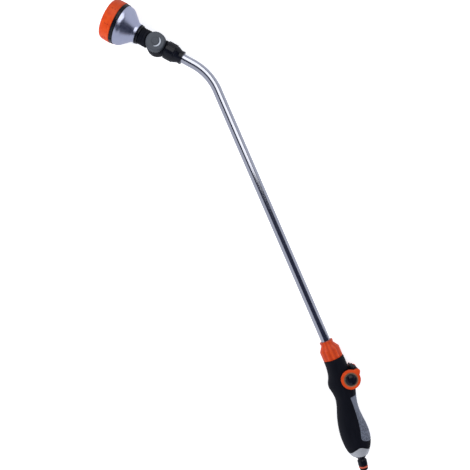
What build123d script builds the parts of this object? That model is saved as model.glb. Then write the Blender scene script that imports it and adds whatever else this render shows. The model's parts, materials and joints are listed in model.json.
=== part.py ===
from build123d import *
from math import cos, radians, sin, sqrt
import os

os.makedirs("parts", exist_ok=True)

# A watering wand, in millimetres. The tube runs along +X, from the handle up to the spray head.
# The head bends towards +Y, which is the wand's front, and the swivel's pin stands along Z.
# The handle's top face is X = 0. At the end, the whole wand is laid on its side on a floor.

# --- fits -----------------------------------------------------------------------------------
gap = 0.35            # between pieces that move past each other
running = 0.05        # radial clearance of a shaft in its own bearing
seat = 0.1            # radial clearance of a piece that is pushed in and stays
settling_steps = 20   # rounds in which the wand's three resting points are found

# --- tube -----------------------------------------------------------------------------------
tube_r = 8.0
tube_wall = 1.2
bend_angle = 38.0
bend_radius = 95.0
bend_reach = 536.0    # handle's top face to the corner of the bend
pivot_reach = 105.2   # corner of the bend to the swivel's pin

# --- compression fittings, alike at both ends of the tube -------------------------------------
spigot_r = 12.0
spigot_length = 13.0
cord_r = 1.25         # section of the tube's sealing rings
ferrule_r = 10.4
cone_end = 26.5       # open face of a nut to the end of its cone
collar_end = 32.5     # open face of a nut to its lip
collar_r = 11.25
handle_nut_r = 17.5
handle_nut_body = 17.5
tube_nut_r = 15.65
tube_nut_body = 16.6
handle_socket = 18.0  # how far the tube enters below the handle's top face
swivel_socket = 5.0   # where the tube stops inside the swivel's spigot

# --- grip -----------------------------------------------------------------------------------
grip_tilt = 9.9       # lean of the grip towards the front, in degrees
grip_corner = 40.0    # handle's top face to the corner where the grip leans
grip_skin = 3.5       # thickness of the soft sleeve
core_end = 129.5      # corner to the foot of the hard core
crown_low = 123.5     # corner to the low points of the crown's wave
crown_high = 116.5    # corner to the crest of the crown's wave
# distance below the top face, front, back, half thickness
grip_stations = (
    (0, 18.0, 18.0, 18.0),
    (16, 18.8, 18.8, 18.0),
    (29, 22.3, 20.0, 18.0),
    (40, 26.2, 20.5, 18.0),
    (49, 26.4, 20.3, 18.0),
    (60, 22.2, 18.2, 17.4),
    (71, 20.1, 16.5, 16.6),
    (83, 20.9, 15.5, 16.4),
    (96, 23.5, 16.2, 17.0),
    (111, 25.8, 19.4, 18.2),
    (125, 26.6, 22.6, 19.2),
    (138, 26.1, 24.1, 19.6),
    (150, 24.2, 23.3, 19.2),
    (161, 21.2, 20.0, 17.8),
    (168, 17.8, 16.4, 15.6),
    (173.5, 13.2, 12.6, 12.4),
)
bulge_station = 4     # station of the bulge round the valve, where the outside shape is joined
palm_top = 28.0       # corner to the top of the palm insert
palm_foot = 109.0     # corner to its foot
palm_edge = 6.5       # how far behind the grip's centreline its edge runs

# --- flow valve and its thumb lever -----------------------------------------------------------
valve_x = -40.5
valve_y = -11.6
barrel_r = 15.0
barrel_half = 18.3    # half the length of the valve's barrel
spool_r = 8.0
waterway_r = 3.6
cheek_r = 16.8
cheek_thick = 3.8
cheek_edge = 0.8      # chamfer of the cheek's outer edge
cap_r = 10.2
cap_rise = 4.6         # dome of the near cap
cap_flat = 2.0         # height of the far cap's flat face over its cheek
cap_edge = 0.8         # chamfer of that face
dish_wide = 2.6       # sloped band of the cheek round its cap
dish_deep = 1.4
drive_half = 4.0      # half the side of the spool's square ends
tab_angle = -61.0     # direction of the lever's tab from +X, in degrees
tab_r = 18.0
tab_round = 4.6
pad_inner = 17.8
pad_outer = 22.6
pad_span = (-68.0, -26.0)
pad_ribs = 4
pad_rib_r = 1.5
peg_r = 1.5
lever_travel = 90.0

# --- hose connector -----------------------------------------------------------------------------
inlet_r = 4.5
thread_r = 8.5
thread_top = 120.0    # corner of the grip to the inner end of the connector's thread
flange_r = 8.8
flange_foot = 137.0
nose_r = 8.15
nose_land = (142.5, 151.0)
nose_end = 160.0
nose_cord = 1.4
nose_ring_at = 154.0
nose_tip_r = nose_r - 2.0

# --- swivel -----------------------------------------------------------------------------------
drum_r = 18.2
drum_half = 18.0
parting_z = -4.0      # top of the tube's half of the drum
knob_z = 7.5          # underside of the knob
tube_nut_face = 19.0  # pin to the open face of the tube's nut
chamber_inner = 4.6
chamber_outer = 9.5
bolt_r = 3.0
bolt_head_r = 5.4
bolt_head_tall = 3.5
face_ring_r = 12.5
face_cord = 1.05
neck_r = 15.0
neck_end = 30.0       # pin to the end of the head's neck
knob_ribs = 36
mark_r = 8.8

# --- spray head, distances from the swivel's pin --------------------------------------------------
union_r = 13.5        # thread that the head nut runs on
union_end = 37.3
union_bore = 11.0
head_nut_r = 17.5
head_nut_span = (30.8, 40.4)
bell_back = 40.8
bell_neck_r = 18.0
bell_r = 35.05
bell_wall = 1.5
bell_rim = 70.9
dial_back = 76.1
dial_r = 36.75
index_ring_r = dial_r - 0.7
dial_front = 94.3
dial_wall = 3.6
dial_edge = 0.5       # chamfer of the dial's back edge
dial_nose = (1.6, 2.0)  # front corner of the dial: behind its front, inside its radius
guide_r = 30.9
guide_back = 71.4
ledge_back = 73.6
ledge_r = 25.0
post_r = 4.0
post_end = 88.6
port_at = 17.0        # head's centreline to the water port
port_r = 3.6
patterns = 8
stop_at = 28.0        # head's centreline to the dial's click stops

# --- frames -----------------------------------------------------------------------------------
tube_frame = Plane.XY
bend_corner = Vector(bend_reach, 0, 0)
head_way = Vector(cos(radians(bend_angle)), sin(radians(bend_angle)), 0)
head_frame = Plane(origin=bend_corner + head_way * pivot_reach, x_dir=head_way, z_dir=(0, 0, 1))
head_axis = Axis(head_frame.origin, head_way)
pin_axis = Axis(head_frame.origin, (0, 0, 1))
grip_way = Vector(-cos(radians(grip_tilt)), sin(radians(grip_tilt)), 0)
grip_frame = Plane(origin=(-grip_corner, 0, 0), x_dir=grip_way, z_dir=(0, 0, 1))
grip_axis = Axis(grip_frame.origin, grip_way)
valve_frame = Plane(origin=(valve_x, valve_y, 0))
valve_axis = Axis(valve_frame.origin, (0, 0, 1))
swivel_fit = Plane(
    origin=head_frame.from_local_coords((-tube_nut_face, 0, 0)), x_dir=-head_way, z_dir=(0, 0, 1)
)


def along(frame):
    """The axis that runs along a frame's X."""
    return Axis(frame.origin, frame.x_dir)


def across(frame, distance):
    """The plane across a frame's X, at a distance along it."""
    origin = frame.from_local_coords((distance, 0, 0))
    return Plane(origin=origin, x_dir=frame.y_dir, z_dir=frame.x_dir)


def outline(frame, *points):
    """A flat face in a frame, with straight sides through the given points."""
    with BuildSketch(frame) as face:
        with BuildLine():
            Polyline(*points, close=True)
        make_face()
    return face.sketch


def disc(frame, radius, inner=0.0):
    """A round face in a frame, with an optional round hole."""
    with BuildSketch(frame) as face:
        Circle(radius)
        if inner > 0:
            Circle(inner, mode=Mode.SUBTRACT)
    return face.sketch


def grip_section(distance):
    """The plane across the grip's centreline, at a distance below the handle's top face."""
    if distance < grip_corner:
        return Plane(origin=(-distance, 0, 0), x_dir=(0, -1, 0), z_dir=(-1, 0, 0))
    return across(grip_frame, distance - grip_corner)


def grip_solid(inset):
    """The grip's outside shape, drawn in by an inset on every side but its two ends."""
    with BuildPart() as shape:
        for stretch in (grip_stations[: bulge_station + 1], grip_stations[bulge_station:]):
            sections = []
            for distance, front, back, half in stretch:
                with BuildSketch(grip_section(distance), mode=Mode.PRIVATE) as section:
                    with Locations(((back - front) / 2, 0)):
                        Ellipse((front + back) / 2 - inset, half - inset)
                sections.append(section.sketch)
            loft(sections)
    return shape.part


# --- the wand's resting place -------------------------------------------------------------------
# It lies flat on the far lever cap and on the dial's rim.
cheek_z = barrel_half + gap
cap_face = valve_frame.offset(-(cheek_z + cheek_thick + cap_flat)).origin
tab_x = tab_r * cos(radians(tab_angle))
tab_y = tab_r * sin(radians(tab_angle))
rib_turn = radians(pad_span[0] + 6)
rib_centre = valve_frame.from_local_coords((pad_outer * cos(rib_turn), pad_outer * sin(rib_turn), 0))


def rim_point(frame, distance, radius, way):
    """The point that reaches furthest in a direction, on a circle round a frame's X axis."""
    side = way - frame.x_dir * way.dot(frame.x_dir)
    return frame.from_local_coords((distance, 0, 0)) + side.normalized() * radius


down = Vector(-1, 0, -40).normalized()
for _ in range(settling_steps):
    cap_touch = cap_face + Vector(down.X, down.Y, 0).normalized() * (cap_r - cap_edge)
    rim_touch = rim_point(head_frame, dial_back + dial_edge, dial_r, down)
    touch_line = rim_touch - cap_touch
    down = Vector(0, 0, 1).cross(touch_line).cross(touch_line).normalized()

tube_way = Vector(1, 0, 0)
floor = Plane(
    origin=cap_touch, x_dir=(tube_way - down * tube_way.dot(down)).normalized(), z_dir=-down
)
dial_corner = (dial_front - dial_nose[0], dial_r - dial_nose[1])
nose_tip = floor.to_local_coords(rim_point(grip_frame, nose_end, nose_tip_r, -floor.x_dir))
rim_front = floor.to_local_coords(rim_point(head_frame, *dial_corner, floor.x_dir))
rim_side = floor.to_local_coords(rim_point(head_frame, *dial_corner, floor.y_dir))
pad_back = floor.to_local_coords(rib_centre - floor.y_dir * pad_rib_r)
middle = Location((-(rim_front.X + nose_tip.X) / 2, -(rim_side.Y + pad_back.Y) / 2, 0))
rest = middle * floor.location.inverse()

# --- grip -----------------------------------------------------------------------------------
grip_outside = grip_solid(0)
grip_inside = grip_solid(grip_skin)
spool_hole_r = spool_r + running
waterway_foot = grip_frame.from_local_coords((thread_top - 1.5, 0, 0))
waterway_top = Vector(-handle_socket + 2, 0, 0)

with BuildSketch(grip_frame.offset(-30)) as crown_side:
    with BuildLine():
        Spline(
            (crown_low, -30),
            (crown_low, -15),
            (crown_high, 0),
            (crown_low, 15),
            (crown_low, 30),
        )
        Polyline((crown_low, 30), (nose_end, 30), (nose_end, -30), (crown_low, -30))
    make_face()

with BuildSketch(grip_frame.offset(-30)) as palm_side:
    with BuildLine():
        Spline(
            (palm_top + 2, palm_edge - 2.5),
            (palm_top + 30, palm_edge + 0.6),
            (palm_top + 50, palm_edge + 1.0),
            (palm_foot - 10, palm_edge - 1.0),
        )
        Spline(
            (palm_foot - 10, palm_edge - 1.0),
            (palm_foot - 4, palm_edge + 1.5),
            (palm_foot, palm_edge + 10),
            (palm_foot, 34),
            tangents=((1, 0), (0, 1)),
        )
        Polyline((palm_foot, 34), (palm_top - 2, 34), (palm_top + 2, palm_edge - 2.5))
    make_face()

with BuildPart() as handle_core:
    add(grip_inside)
    extrude(disc(across(grip_frame, core_end), 30), amount=60, mode=Mode.SUBTRACT)
    extrude(disc(valve_frame.offset(-barrel_half), barrel_r), amount=2 * barrel_half)
    extrude(disc(across(tube_frame, -1), spigot_r), amount=1 + spigot_length)
    extrude(disc(valve_frame.offset(-40), spool_hole_r), amount=80, mode=Mode.SUBTRACT)
    extrude(disc(across(tube_frame, -handle_socket), tube_r + seat), amount=60, mode=Mode.SUBTRACT)
    extrude(
        disc(across(tube_frame, spigot_length - 4), ferrule_r + seat), amount=10, mode=Mode.SUBTRACT
    )
    for end in (waterway_foot, waterway_top):
        way = Plane(origin=end, z_dir=valve_frame.origin - end)
        extrude(disc(way, waterway_r), amount=(valve_frame.origin - end).length, mode=Mode.SUBTRACT)
    extrude(
        disc(across(grip_frame, thread_top - 3.0), thread_r + seat), amount=40, mode=Mode.SUBTRACT
    )
handle_core.part.label = "handle_core"
export_step(handle_core.part.moved(rest), "parts/handle_core.step")

with BuildPart() as grip_sleeve:
    add(grip_outside)
    add(grip_inside, mode=Mode.SUBTRACT)
    extrude(crown_side.sketch, amount=60, mode=Mode.SUBTRACT)
    extrude(palm_side.sketch, amount=60, mode=Mode.SUBTRACT)
    extrude(disc(valve_frame.offset(-30), barrel_r), amount=60, mode=Mode.SUBTRACT)
    with BuildSketch(valve_frame.offset(-30)):
        Circle(pad_outer + 8)
        Circle(pad_inner - gap, mode=Mode.SUBTRACT)
        with Locations((0, 25)):
            Rectangle(80, 62, mode=Mode.SUBTRACT)
    extrude(amount=60, mode=Mode.SUBTRACT)
grip_sleeve.part.label = "grip_sleeve"
export_step(grip_sleeve.part.moved(rest), "parts/grip_sleeve.step")

with BuildPart() as palm_insert:
    add(grip_outside)
    add(grip_inside, mode=Mode.SUBTRACT)
    extrude(palm_side.sketch, amount=60, mode=Mode.INTERSECT)
palm_insert.part.label = "palm_insert"
export_step(palm_insert.part.moved(rest), "parts/palm_insert.step")

with BuildPart() as end_cap:
    add(grip_outside)
    extrude(crown_side.sketch, amount=60, mode=Mode.INTERSECT)
    add(handle_core.part, mode=Mode.SUBTRACT)
    extrude(disc(across(grip_frame, 100), thread_r + seat), amount=60, mode=Mode.SUBTRACT)
end_cap.part.label = "end_cap"
export_step(end_cap.part.moved(rest), "parts/end_cap.step")

# --- hose connector -----------------------------------------------------------------------------
grip_foot = grip_stations[-1][0] - grip_corner
ring_groove_r = nose_r - 2 * nose_cord

with BuildPart() as inlet_connector:
    with BuildSketch(grip_frame):
        with BuildLine():
            Polyline(
                (thread_top, inlet_r),
                (thread_top, thread_r),
                (grip_foot, thread_r),
                (grip_foot, flange_r),
                (flange_foot, flange_r),
                (flange_foot + 2.2, thread_r - 2.2),
                (nose_land[0] - 2, thread_r - 2.2),
                (nose_land[0], nose_r),
                (nose_land[1], nose_r),
                (nose_ring_at - nose_cord, nose_r - 0.4),
                (nose_ring_at - nose_cord, ring_groove_r),
                (nose_ring_at + nose_cord, ring_groove_r),
                (nose_ring_at + nose_cord, nose_r - 0.4),
                (nose_end - 2, nose_r - 0.5),
                (nose_end, nose_tip_r),
                (nose_end, inlet_r),
                close=True,
            )
        make_face()
    revolve(axis=grip_axis)
inlet_connector.part.label = "inlet_connector"
export_step(inlet_connector.part.moved(rest), "parts/inlet_connector.step")

with BuildPart() as connector_o_ring:
    with BuildSketch(grip_frame):
        with Locations((nose_ring_at, ring_groove_r + nose_cord)):
            Circle(nose_cord)
    revolve(axis=grip_axis)
connector_o_ring.part.label = "connector_o_ring"
export_step(connector_o_ring.part.moved(rest), "parts/connector_o_ring.step")

with BuildPart() as inlet_washer:
    extrude(disc(across(grip_frame, thread_top), thread_r - 0.2, inlet_r), amount=-1.6)
inlet_washer.part.label = "inlet_washer"
export_step(inlet_washer.part.moved(rest), "parts/inlet_washer.step")

with BuildPart() as inlet_filter:
    extrude(disc(across(grip_frame, thread_top - 1.6), thread_r - 0.2), amount=-1.2)
    with BuildSketch(across(grip_frame, thread_top)):
        with GridLocations(1.6, 1.6, 5, 5):
            Rectangle(1.0, 1.0)
    extrude(amount=-5, mode=Mode.SUBTRACT)
inlet_filter.part.label = "inlet_filter"
export_step(inlet_filter.part.moved(rest), "parts/inlet_filter.step")

# --- flow valve -----------------------------------------------------------------------------------
cord_spool = 0.9
spool_groove_r = spool_r - 2 * cord_spool
spool_ring_z = barrel_half - 5.0
drive_end = cheek_z + cheek_thick - 1.9
cap_seat_z = cheek_z + cheek_thick - 1.5
screw_r = 1.5
dome_r = (cap_r**2 + cap_rise**2) / (2 * cap_rise)

with BuildPart() as valve_spool:
    extrude(disc(valve_frame.offset(-cheek_z), spool_r), amount=2 * cheek_z)
    with BuildSketch(valve_frame.offset(-drive_end)):
        Rectangle(2 * drive_half, 2 * drive_half)
    extrude(amount=2 * drive_end)
    with BuildSketch(valve_frame.offset(-waterway_r - 0.6)):
        with Locations((0, spool_r + 0.8)):
            Rectangle(3 * spool_r, 2 * spool_r)
    extrude(amount=2 * waterway_r + 1.2, mode=Mode.SUBTRACT)
    for side in (-1, 1):
        groove = valve_frame.offset(side * spool_ring_z - cord_spool)
        extrude(disc(groove, spool_r + 1, spool_groove_r), amount=2 * cord_spool, mode=Mode.SUBTRACT)
    for side in (-1, 1):
        hole = valve_frame.offset(side * drive_end)
        extrude(disc(hole, screw_r), amount=-side * 9, mode=Mode.SUBTRACT)
valve_spool.part.label = "valve_spool"
export_step(valve_spool.part.moved(rest), "parts/valve_spool.step")

with BuildPart() as spool_o_rings:
    for side in (-1, 1):
        with BuildSketch(Plane(origin=valve_frame.origin, x_dir=(1, 0, 0), z_dir=(0, -1, 0))):
            with Locations((spool_groove_r + cord_spool, side * spool_ring_z)):
                Circle(cord_spool)
        revolve(axis=valve_axis)
spool_o_rings.part.label = "spool_o_rings"
export_step(spool_o_rings.part.moved(rest), "parts/spool_o_rings.step")


def lever_cheek(side):
    """One orange cheek of the thumb lever, above (1) or below (-1) the valve's barrel."""
    with BuildPart() as cheek:
        with BuildSketch(valve_frame.offset(side * cheek_z)):
            Circle(tab_round + 8)
            with Locations((tab_x, tab_y)):
                Circle(tab_round)
            make_hull()
            Circle(cheek_r)
        extrude(amount=side * cheek_thick)
        chamfer(cheek.faces().sort_by(Axis.Z)[-1 if side > 0 else 0].edges(), cheek_edge)
        with BuildSketch(valve_frame.offset(side * cheek_z)):
            Rectangle(2 * drive_half + seat, 2 * drive_half + seat)
            with Locations((tab_x, tab_y)):
                Circle(peg_r + seat)
        extrude(amount=side * (cheek_thick - 1), mode=Mode.SUBTRACT)
        extrude(
            disc(valve_frame.offset(side * cap_seat_z), cap_r + seat), amount=side * 5, mode=Mode.SUBTRACT
        )
        face = valve_frame.offset(side * (cheek_z + cheek_thick)).origin
        upright = Plane(origin=face, x_dir=(1, 0, 0), z_dir=(0, -side, 0))
        dish = outline(upright, (cap_r, -dish_deep), (cap_r, 0), (cap_r + dish_wide, 0))
        revolve(dish, axis=valve_axis, mode=Mode.SUBTRACT)
    return cheek.part


for side, name in ((1, "lever_cheek_near"), (-1, "lever_cheek_far")):
    cheek_part = lever_cheek(side)
    cheek_part.label = name
    export_step(cheek_part.moved(rest), f"parts/{name}.step")


def lever_cap(side):
    """The cap over the screw at one end of the valve: domed on the near side, flat on the far."""
    upright = Plane(
        origin=valve_frame.offset(side * cap_seat_z).origin, x_dir=(1, 0, 0), z_dir=(0, -side, 0)
    )
    with BuildPart() as cap:
        with BuildSketch(upright):
            with BuildLine():
                Polyline((0, 2.6), (cap_r - 1.6, 2.6), (cap_r - 1.6, 0), (cap_r, 0), (cap_r, 1.5))
                if side > 0:
                    RadiusArc((cap_r, 1.5), (0, 1.5 + cap_rise), -dome_r)
                    Line((0, 1.5 + cap_rise), (0, 2.6))
                else:
                    cap_top = 1.5 + cap_flat
                    Polyline(
                        (cap_r, 1.5), (cap_r, cap_top - cap_edge), (cap_r - cap_edge, cap_top),
                        (0, cap_top), (0, 2.6),
                    )
            make_face()
        revolve(axis=valve_axis)
    return cap.part


for side, name in ((1, "lever_cap_near"), (-1, "lever_cap_far")):
    cap_part = lever_cap(side)
    cap_part.label = name
    export_step(cap_part.moved(rest), f"parts/{name}.step")

with BuildPart() as lever_screws:
    for side in (-1, 1):
        extrude(disc(valve_frame.offset(side * cap_seat_z), drive_half + 1.2), amount=side * 2.2)
        extrude(disc(valve_frame.offset(side * cap_seat_z), screw_r), amount=-side * 8)
        with BuildSketch(valve_frame.offset(side * (cap_seat_z + 2.2))):
            Rectangle(5, 0.9)
            Rectangle(0.9, 5)
        extrude(amount=-side * 1.0, mode=Mode.SUBTRACT)
lever_screws.part.label = "lever_screws"
export_step(lever_screws.part.moved(rest), "parts/lever_screws.step")

with BuildPart() as thumb_pad:
    with BuildSketch(valve_frame.offset(-cheek_z)):
        Circle(pad_outer)
        Circle(pad_inner, mode=Mode.SUBTRACT)
        with BuildLine():
            reach = 3 * pad_outer
            first = (reach * cos(radians(pad_span[0])), reach * sin(radians(pad_span[0])))
            last = (reach * cos(radians(pad_span[1])), reach * sin(radians(pad_span[1])))
            Polyline((0, 0), first, last, close=True)
        make_face(mode=Mode.INTERSECT)
    extrude(amount=2 * cheek_z)
    with BuildSketch(valve_frame.offset(-cheek_z + 1.5)):
        rib_step = (pad_span[1] - pad_span[0] - 12) / (pad_ribs - 1)
        with PolarLocations(pad_outer, pad_ribs, pad_span[0] + 6, rib_step * pad_ribs):
            Circle(pad_rib_r)
    extrude(amount=2 * cheek_z - 3)
    with BuildSketch(valve_frame.offset(-cheek_z - cheek_thick + 1.2)):
        with Locations((tab_x, tab_y)):
            Circle(peg_r)
    extrude(amount=2 * (cheek_z + cheek_thick - 1.2))
thumb_pad.part.label = "thumb_pad"
export_step(thumb_pad.part.moved(rest), "parts/thumb_pad.step")

# --- tube and its two compression fittings -----------------------------------------------------------
tube_top = head_frame.from_local_coords((-tube_nut_face - swivel_socket, 0, 0))

with BuildPart() as wand_tube:
    with BuildLine() as tube_line:
        FilletPolyline((-handle_socket, 0, 0), bend_corner, tube_top, radius=bend_radius)
    with BuildSketch(Plane(origin=(-handle_socket, 0, 0), z_dir=(1, 0, 0))):
        Circle(tube_r)
        Circle(tube_r - tube_wall, mode=Mode.SUBTRACT)
    sweep()
wand_tube.part.label = "wand_tube"
export_step(wand_tube.part.moved(rest), "parts/wand_tube.step")


def tube_seal(frame):
    """The rubber ring in the mouth of a spigot, round the tube."""
    with BuildPart() as ring:
        with BuildSketch(frame):
            with Locations((spigot_length - 4 + cord_r, tube_r + cord_r)):
                Circle(cord_r)
        revolve(axis=along(frame))
    return ring.part


def tube_ferrule(frame):
    """The coned ring that a nut presses on to the tube."""
    foot = spigot_length - 4 + 2 * cord_r
    with BuildPart() as ferrule:
        profile = outline(
            frame,
            (foot, tube_r),
            (foot, ferrule_r),
            (foot + 4, ferrule_r),
            (foot + 6, ferrule_r - 1.5),
            (foot + 6, tube_r),
        )
        revolve(profile, axis=along(frame))
    return ferrule.part


def compression_nut(frame, body_r, body_length, flutes, flute_r, flute_depth):
    """A hand nut with a coned shoulder and a collar, bored for a spigot and the tube."""
    tube_bore = tube_r + gap
    thread_bore = spigot_r + gap
    throat = spigot_length + 1
    with BuildPart() as nut:
        profile = outline(
            frame,
            (gap, thread_bore),
            (gap, body_r - 0.8),
            (gap + 0.8, body_r),
            (body_length, body_r),
            (cone_end, collar_r),
            (collar_end - 2, collar_r),
            (collar_end - 2, collar_r + 0.5),
            (collar_end, collar_r + 0.5),
            (collar_end, tube_bore),
            (throat + 7, tube_bore),
            (throat + 3.5, ferrule_r + 0.8),
            (throat, ferrule_r + 0.8),
            (throat, thread_bore),
        )
        revolve(profile, axis=along(frame))
        with BuildSketch(across(frame, gap + 2)):
            with PolarLocations(body_r + flute_r - flute_depth, flutes):
                Circle(flute_r)
        extrude(amount=body_length, mode=Mode.SUBTRACT)
    return nut.part


fittings = (
    ("handle", tube_frame, (handle_nut_r, handle_nut_body, 12, 4.0, 0.8)),
    ("head_end", swivel_fit, (tube_nut_r, tube_nut_body, 10, 3.0, 1.0)),
)
for end_name, fit_frame, nut_sizes in fittings:
    seal_part = tube_seal(fit_frame)
    seal_part.label = f"{end_name}_tube_seal"
    export_step(seal_part.moved(rest), f"parts/{end_name}_tube_seal.step")
    ferrule_part = tube_ferrule(fit_frame)
    ferrule_part.label = f"{end_name}_ferrule"
    export_step(ferrule_part.moved(rest), f"parts/{end_name}_ferrule.step")
    nut_part = compression_nut(fit_frame, *nut_sizes)
    nut_part.label = f"{end_name}_nut"
    export_step(nut_part.moved(rest), f"parts/{end_name}_nut.step")

# --- swivel -----------------------------------------------------------------------------------
half_top = parting_z - gap
stub_r = neck_r - 1    # tube's half, between its drum and its nut
neck_start = stub_r + gap
inlet_z = -7.2        # height of the water's way into the tube's half
outlet_z = 1.8        # height of its way out of the head's half
face_groove_foot = half_top - 0.1 - face_cord * 2 + 0.35

with BuildPart() as swivel_inlet:
    extrude(disc(head_frame.offset(-drum_half), drum_r), amount=half_top + drum_half)
    extrude(disc(across(swivel_fit, -tube_nut_face), stub_r), amount=tube_nut_face)
    with BuildSketch(head_frame.offset(half_top)):
        Circle(drum_r + gap)
    extrude(amount=drum_half * 2, mode=Mode.SUBTRACT)
    extrude(disc(across(swivel_fit, 0), spigot_r), amount=spigot_length)
    extrude(disc(across(swivel_fit, swivel_socket), tube_r + seat), amount=30, mode=Mode.SUBTRACT)
    extrude(
        disc(across(swivel_fit, spigot_length - 4), ferrule_r + seat), amount=9, mode=Mode.SUBTRACT
    )
    inlet_way = Plane(
        origin=swivel_fit.from_local_coords((swivel_socket + 1, 0, inlet_z + 2)),
        z_dir=head_frame.offset(inlet_z).origin
        - swivel_fit.from_local_coords((swivel_socket + 1, 0, inlet_z + 2)),
    )
    extrude(disc(inlet_way, waterway_r), amount=tube_nut_face, mode=Mode.SUBTRACT)
    with BuildSketch(head_frame.offset(-drum_half + 4)):
        Circle(chamber_outer)
        Circle(chamber_inner, mode=Mode.SUBTRACT)
    extrude(amount=half_top + drum_half - 4, mode=Mode.SUBTRACT)
    extrude(disc(head_frame.offset(-drum_half + 4), chamber_inner), amount=half_top + drum_half - 4)
    extrude(disc(head_frame.offset(-drum_half), bolt_r + seat), amount=40, mode=Mode.SUBTRACT)
    with BuildSketch(head_frame.offset(-drum_half)):
        RegularPolygon(bolt_head_r + seat, 6)
    extrude(amount=bolt_head_tall, mode=Mode.SUBTRACT)
    groove_r = face_ring_r + face_cord
    extrude(
        disc(head_frame.offset(face_groove_foot), groove_r, face_ring_r - face_cord),
        amount=5,
        mode=Mode.SUBTRACT,
    )
swivel_inlet.part.label = "swivel_inlet"
export_step(swivel_inlet.part.moved(rest), "parts/swivel_inlet.step")

upright_pin = Plane(origin=head_frame.origin, x_dir=(1, 0, 0), z_dir=(0, -1, 0))

with BuildPart() as swivel_o_ring:
    with BuildSketch(upright_pin):
        with Locations((face_ring_r, face_groove_foot + face_cord)):
            Circle(face_cord)
    revolve(axis=pin_axis)
swivel_o_ring.part.label = "swivel_o_ring"
export_step(swivel_o_ring.part.moved(rest), "parts/swivel_o_ring.step")

bolt_top = 15.0

with BuildPart() as clamp_bolt:
    with BuildSketch(head_frame.offset(-drum_half)):
        RegularPolygon(bolt_head_r, 6)
    extrude(amount=bolt_head_tall)
    extrude(disc(head_frame.offset(-drum_half), bolt_r), amount=bolt_top + drum_half)
    chamfer(clamp_bolt.faces().sort_by(Axis.Z)[-1].edges(), 0.5)
clamp_bolt.part.label = "clamp_bolt"
export_step(clamp_bolt.part.moved(rest), "parts/clamp_bolt.step")

drum_top = knob_z - gap

with BuildPart() as swivel_outlet:
    extrude(disc(across(head_frame, neck_start), neck_r), amount=neck_end - neck_start)
    for foot, rise in ((-drum_half - 5, parting_z + drum_half + 5), (drum_top, drum_half)):
        extrude(disc(head_frame.offset(foot), drum_r + gap), amount=rise, mode=Mode.SUBTRACT)
    extrude(disc(head_frame.offset(parting_z), drum_r), amount=drum_top - parting_z)
    extrude(disc(across(head_frame, neck_end - 1), union_r), amount=union_end - neck_end + 1)
    extrude(disc(across(head_frame, neck_end), union_bore), amount=20, mode=Mode.SUBTRACT)
    for ring_at in (22.6, 26.0):
        extrude(
            disc(across(head_frame, ring_at), neck_r + 1, neck_r - 0.9), amount=1.4, mode=Mode.SUBTRACT
        )
    outlet_way = Plane(
        origin=head_frame.offset(outlet_z).origin, x_dir=(0, 0, 1), z_dir=head_way
    )
    extrude(disc(outlet_way, waterway_r), amount=neck_end + 1, mode=Mode.SUBTRACT)
    chamber_tall = outlet_z + waterway_r - parting_z - 0.6
    extrude(disc(head_frame.offset(parting_z), chamber_outer), amount=chamber_tall, mode=Mode.SUBTRACT)
    extrude(disc(head_frame.offset(parting_z), chamber_inner), amount=chamber_tall)
    extrude(disc(head_frame.offset(parting_z), bolt_r + running), amount=40, mode=Mode.SUBTRACT)
swivel_outlet.part.label = "swivel_outlet"
export_step(swivel_outlet.part.moved(rest), "parts/swivel_outlet.step")

insert_r = 5.2
insert_foot = knob_z + 0.8
insert_tall = 6.4
face_r = drum_r - 2.2
mark_foot = drum_half - 1.2
mark_thick = 0.9
mark_half = 0.7       # half the width of the mark's line
mark_turn = 300       # direction of the mark's open side

with BuildSketch(head_frame.offset(mark_foot)) as mark_sketch:
    Circle(mark_r + mark_half)
    Circle(mark_r - mark_half, mode=Mode.SUBTRACT)
    with Locations(Location((0, 0), mark_turn)):
        Rectangle(4 * mark_r, 2 * mark_r, align=(Align.CENTER, Align.MIN), mode=Mode.SUBTRACT)
mark_face = mark_sketch.sketch

with BuildPart() as swivel_knob:
    with BuildSketch(upright_pin):
        with BuildLine():
            Polyline(
                (0, knob_z),
                (drum_r - 0.6, knob_z),
                (drum_r, knob_z + 0.6),
                (drum_r, knob_z + 2.0),
                (face_r + 0.4, drum_half - 0.9),
                (face_r - 0.6, drum_half),
                (6.4, drum_half - 0.7),
                (5.6, drum_half),
                (0, drum_half + 0.2),
                close=True,
            )
        make_face()
    revolve(axis=pin_axis)
    with BuildSketch(head_frame.offset(knob_z)):
        with PolarLocations(drum_r + 0.75, knob_ribs):
            Circle(1.2)
    extrude(amount=drum_half, mode=Mode.SUBTRACT)
    extrude(
        disc(head_frame.offset(knob_z), bolt_r + gap), amount=bolt_top - knob_z + 0.5, mode=Mode.SUBTRACT
    )
    with BuildSketch(head_frame.offset(insert_foot)):
        RegularPolygon(insert_r + seat, 6)
    extrude(amount=insert_tall, mode=Mode.SUBTRACT)
    extrude(mark_face, amount=3, mode=Mode.SUBTRACT)
swivel_knob.part.label = "swivel_knob"
export_step(swivel_knob.part.moved(rest), "parts/swivel_knob.step")

with BuildPart() as knob_mark:
    extrude(mark_face, amount=mark_thick)
knob_mark.part.label = "knob_mark"
export_step(knob_mark.part.moved(rest), "parts/knob_mark.step")

with BuildPart() as knob_insert:
    with BuildSketch(head_frame.offset(insert_foot)):
        RegularPolygon(insert_r, 6)
        Circle(bolt_r + running, mode=Mode.SUBTRACT)
    extrude(amount=insert_tall)
knob_insert.part.label = "knob_insert"
export_step(knob_insert.part.moved(rest), "parts/knob_insert.step")

# --- head nut and bell ---------------------------------------------------------------------------
nut_foot, nut_top = head_nut_span
lip_r = 12.2
lip_back = nut_top - 1.3
stem_r = lip_r - gap
flange_back = union_end + 0.2
washer_tall = 1.5

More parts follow.
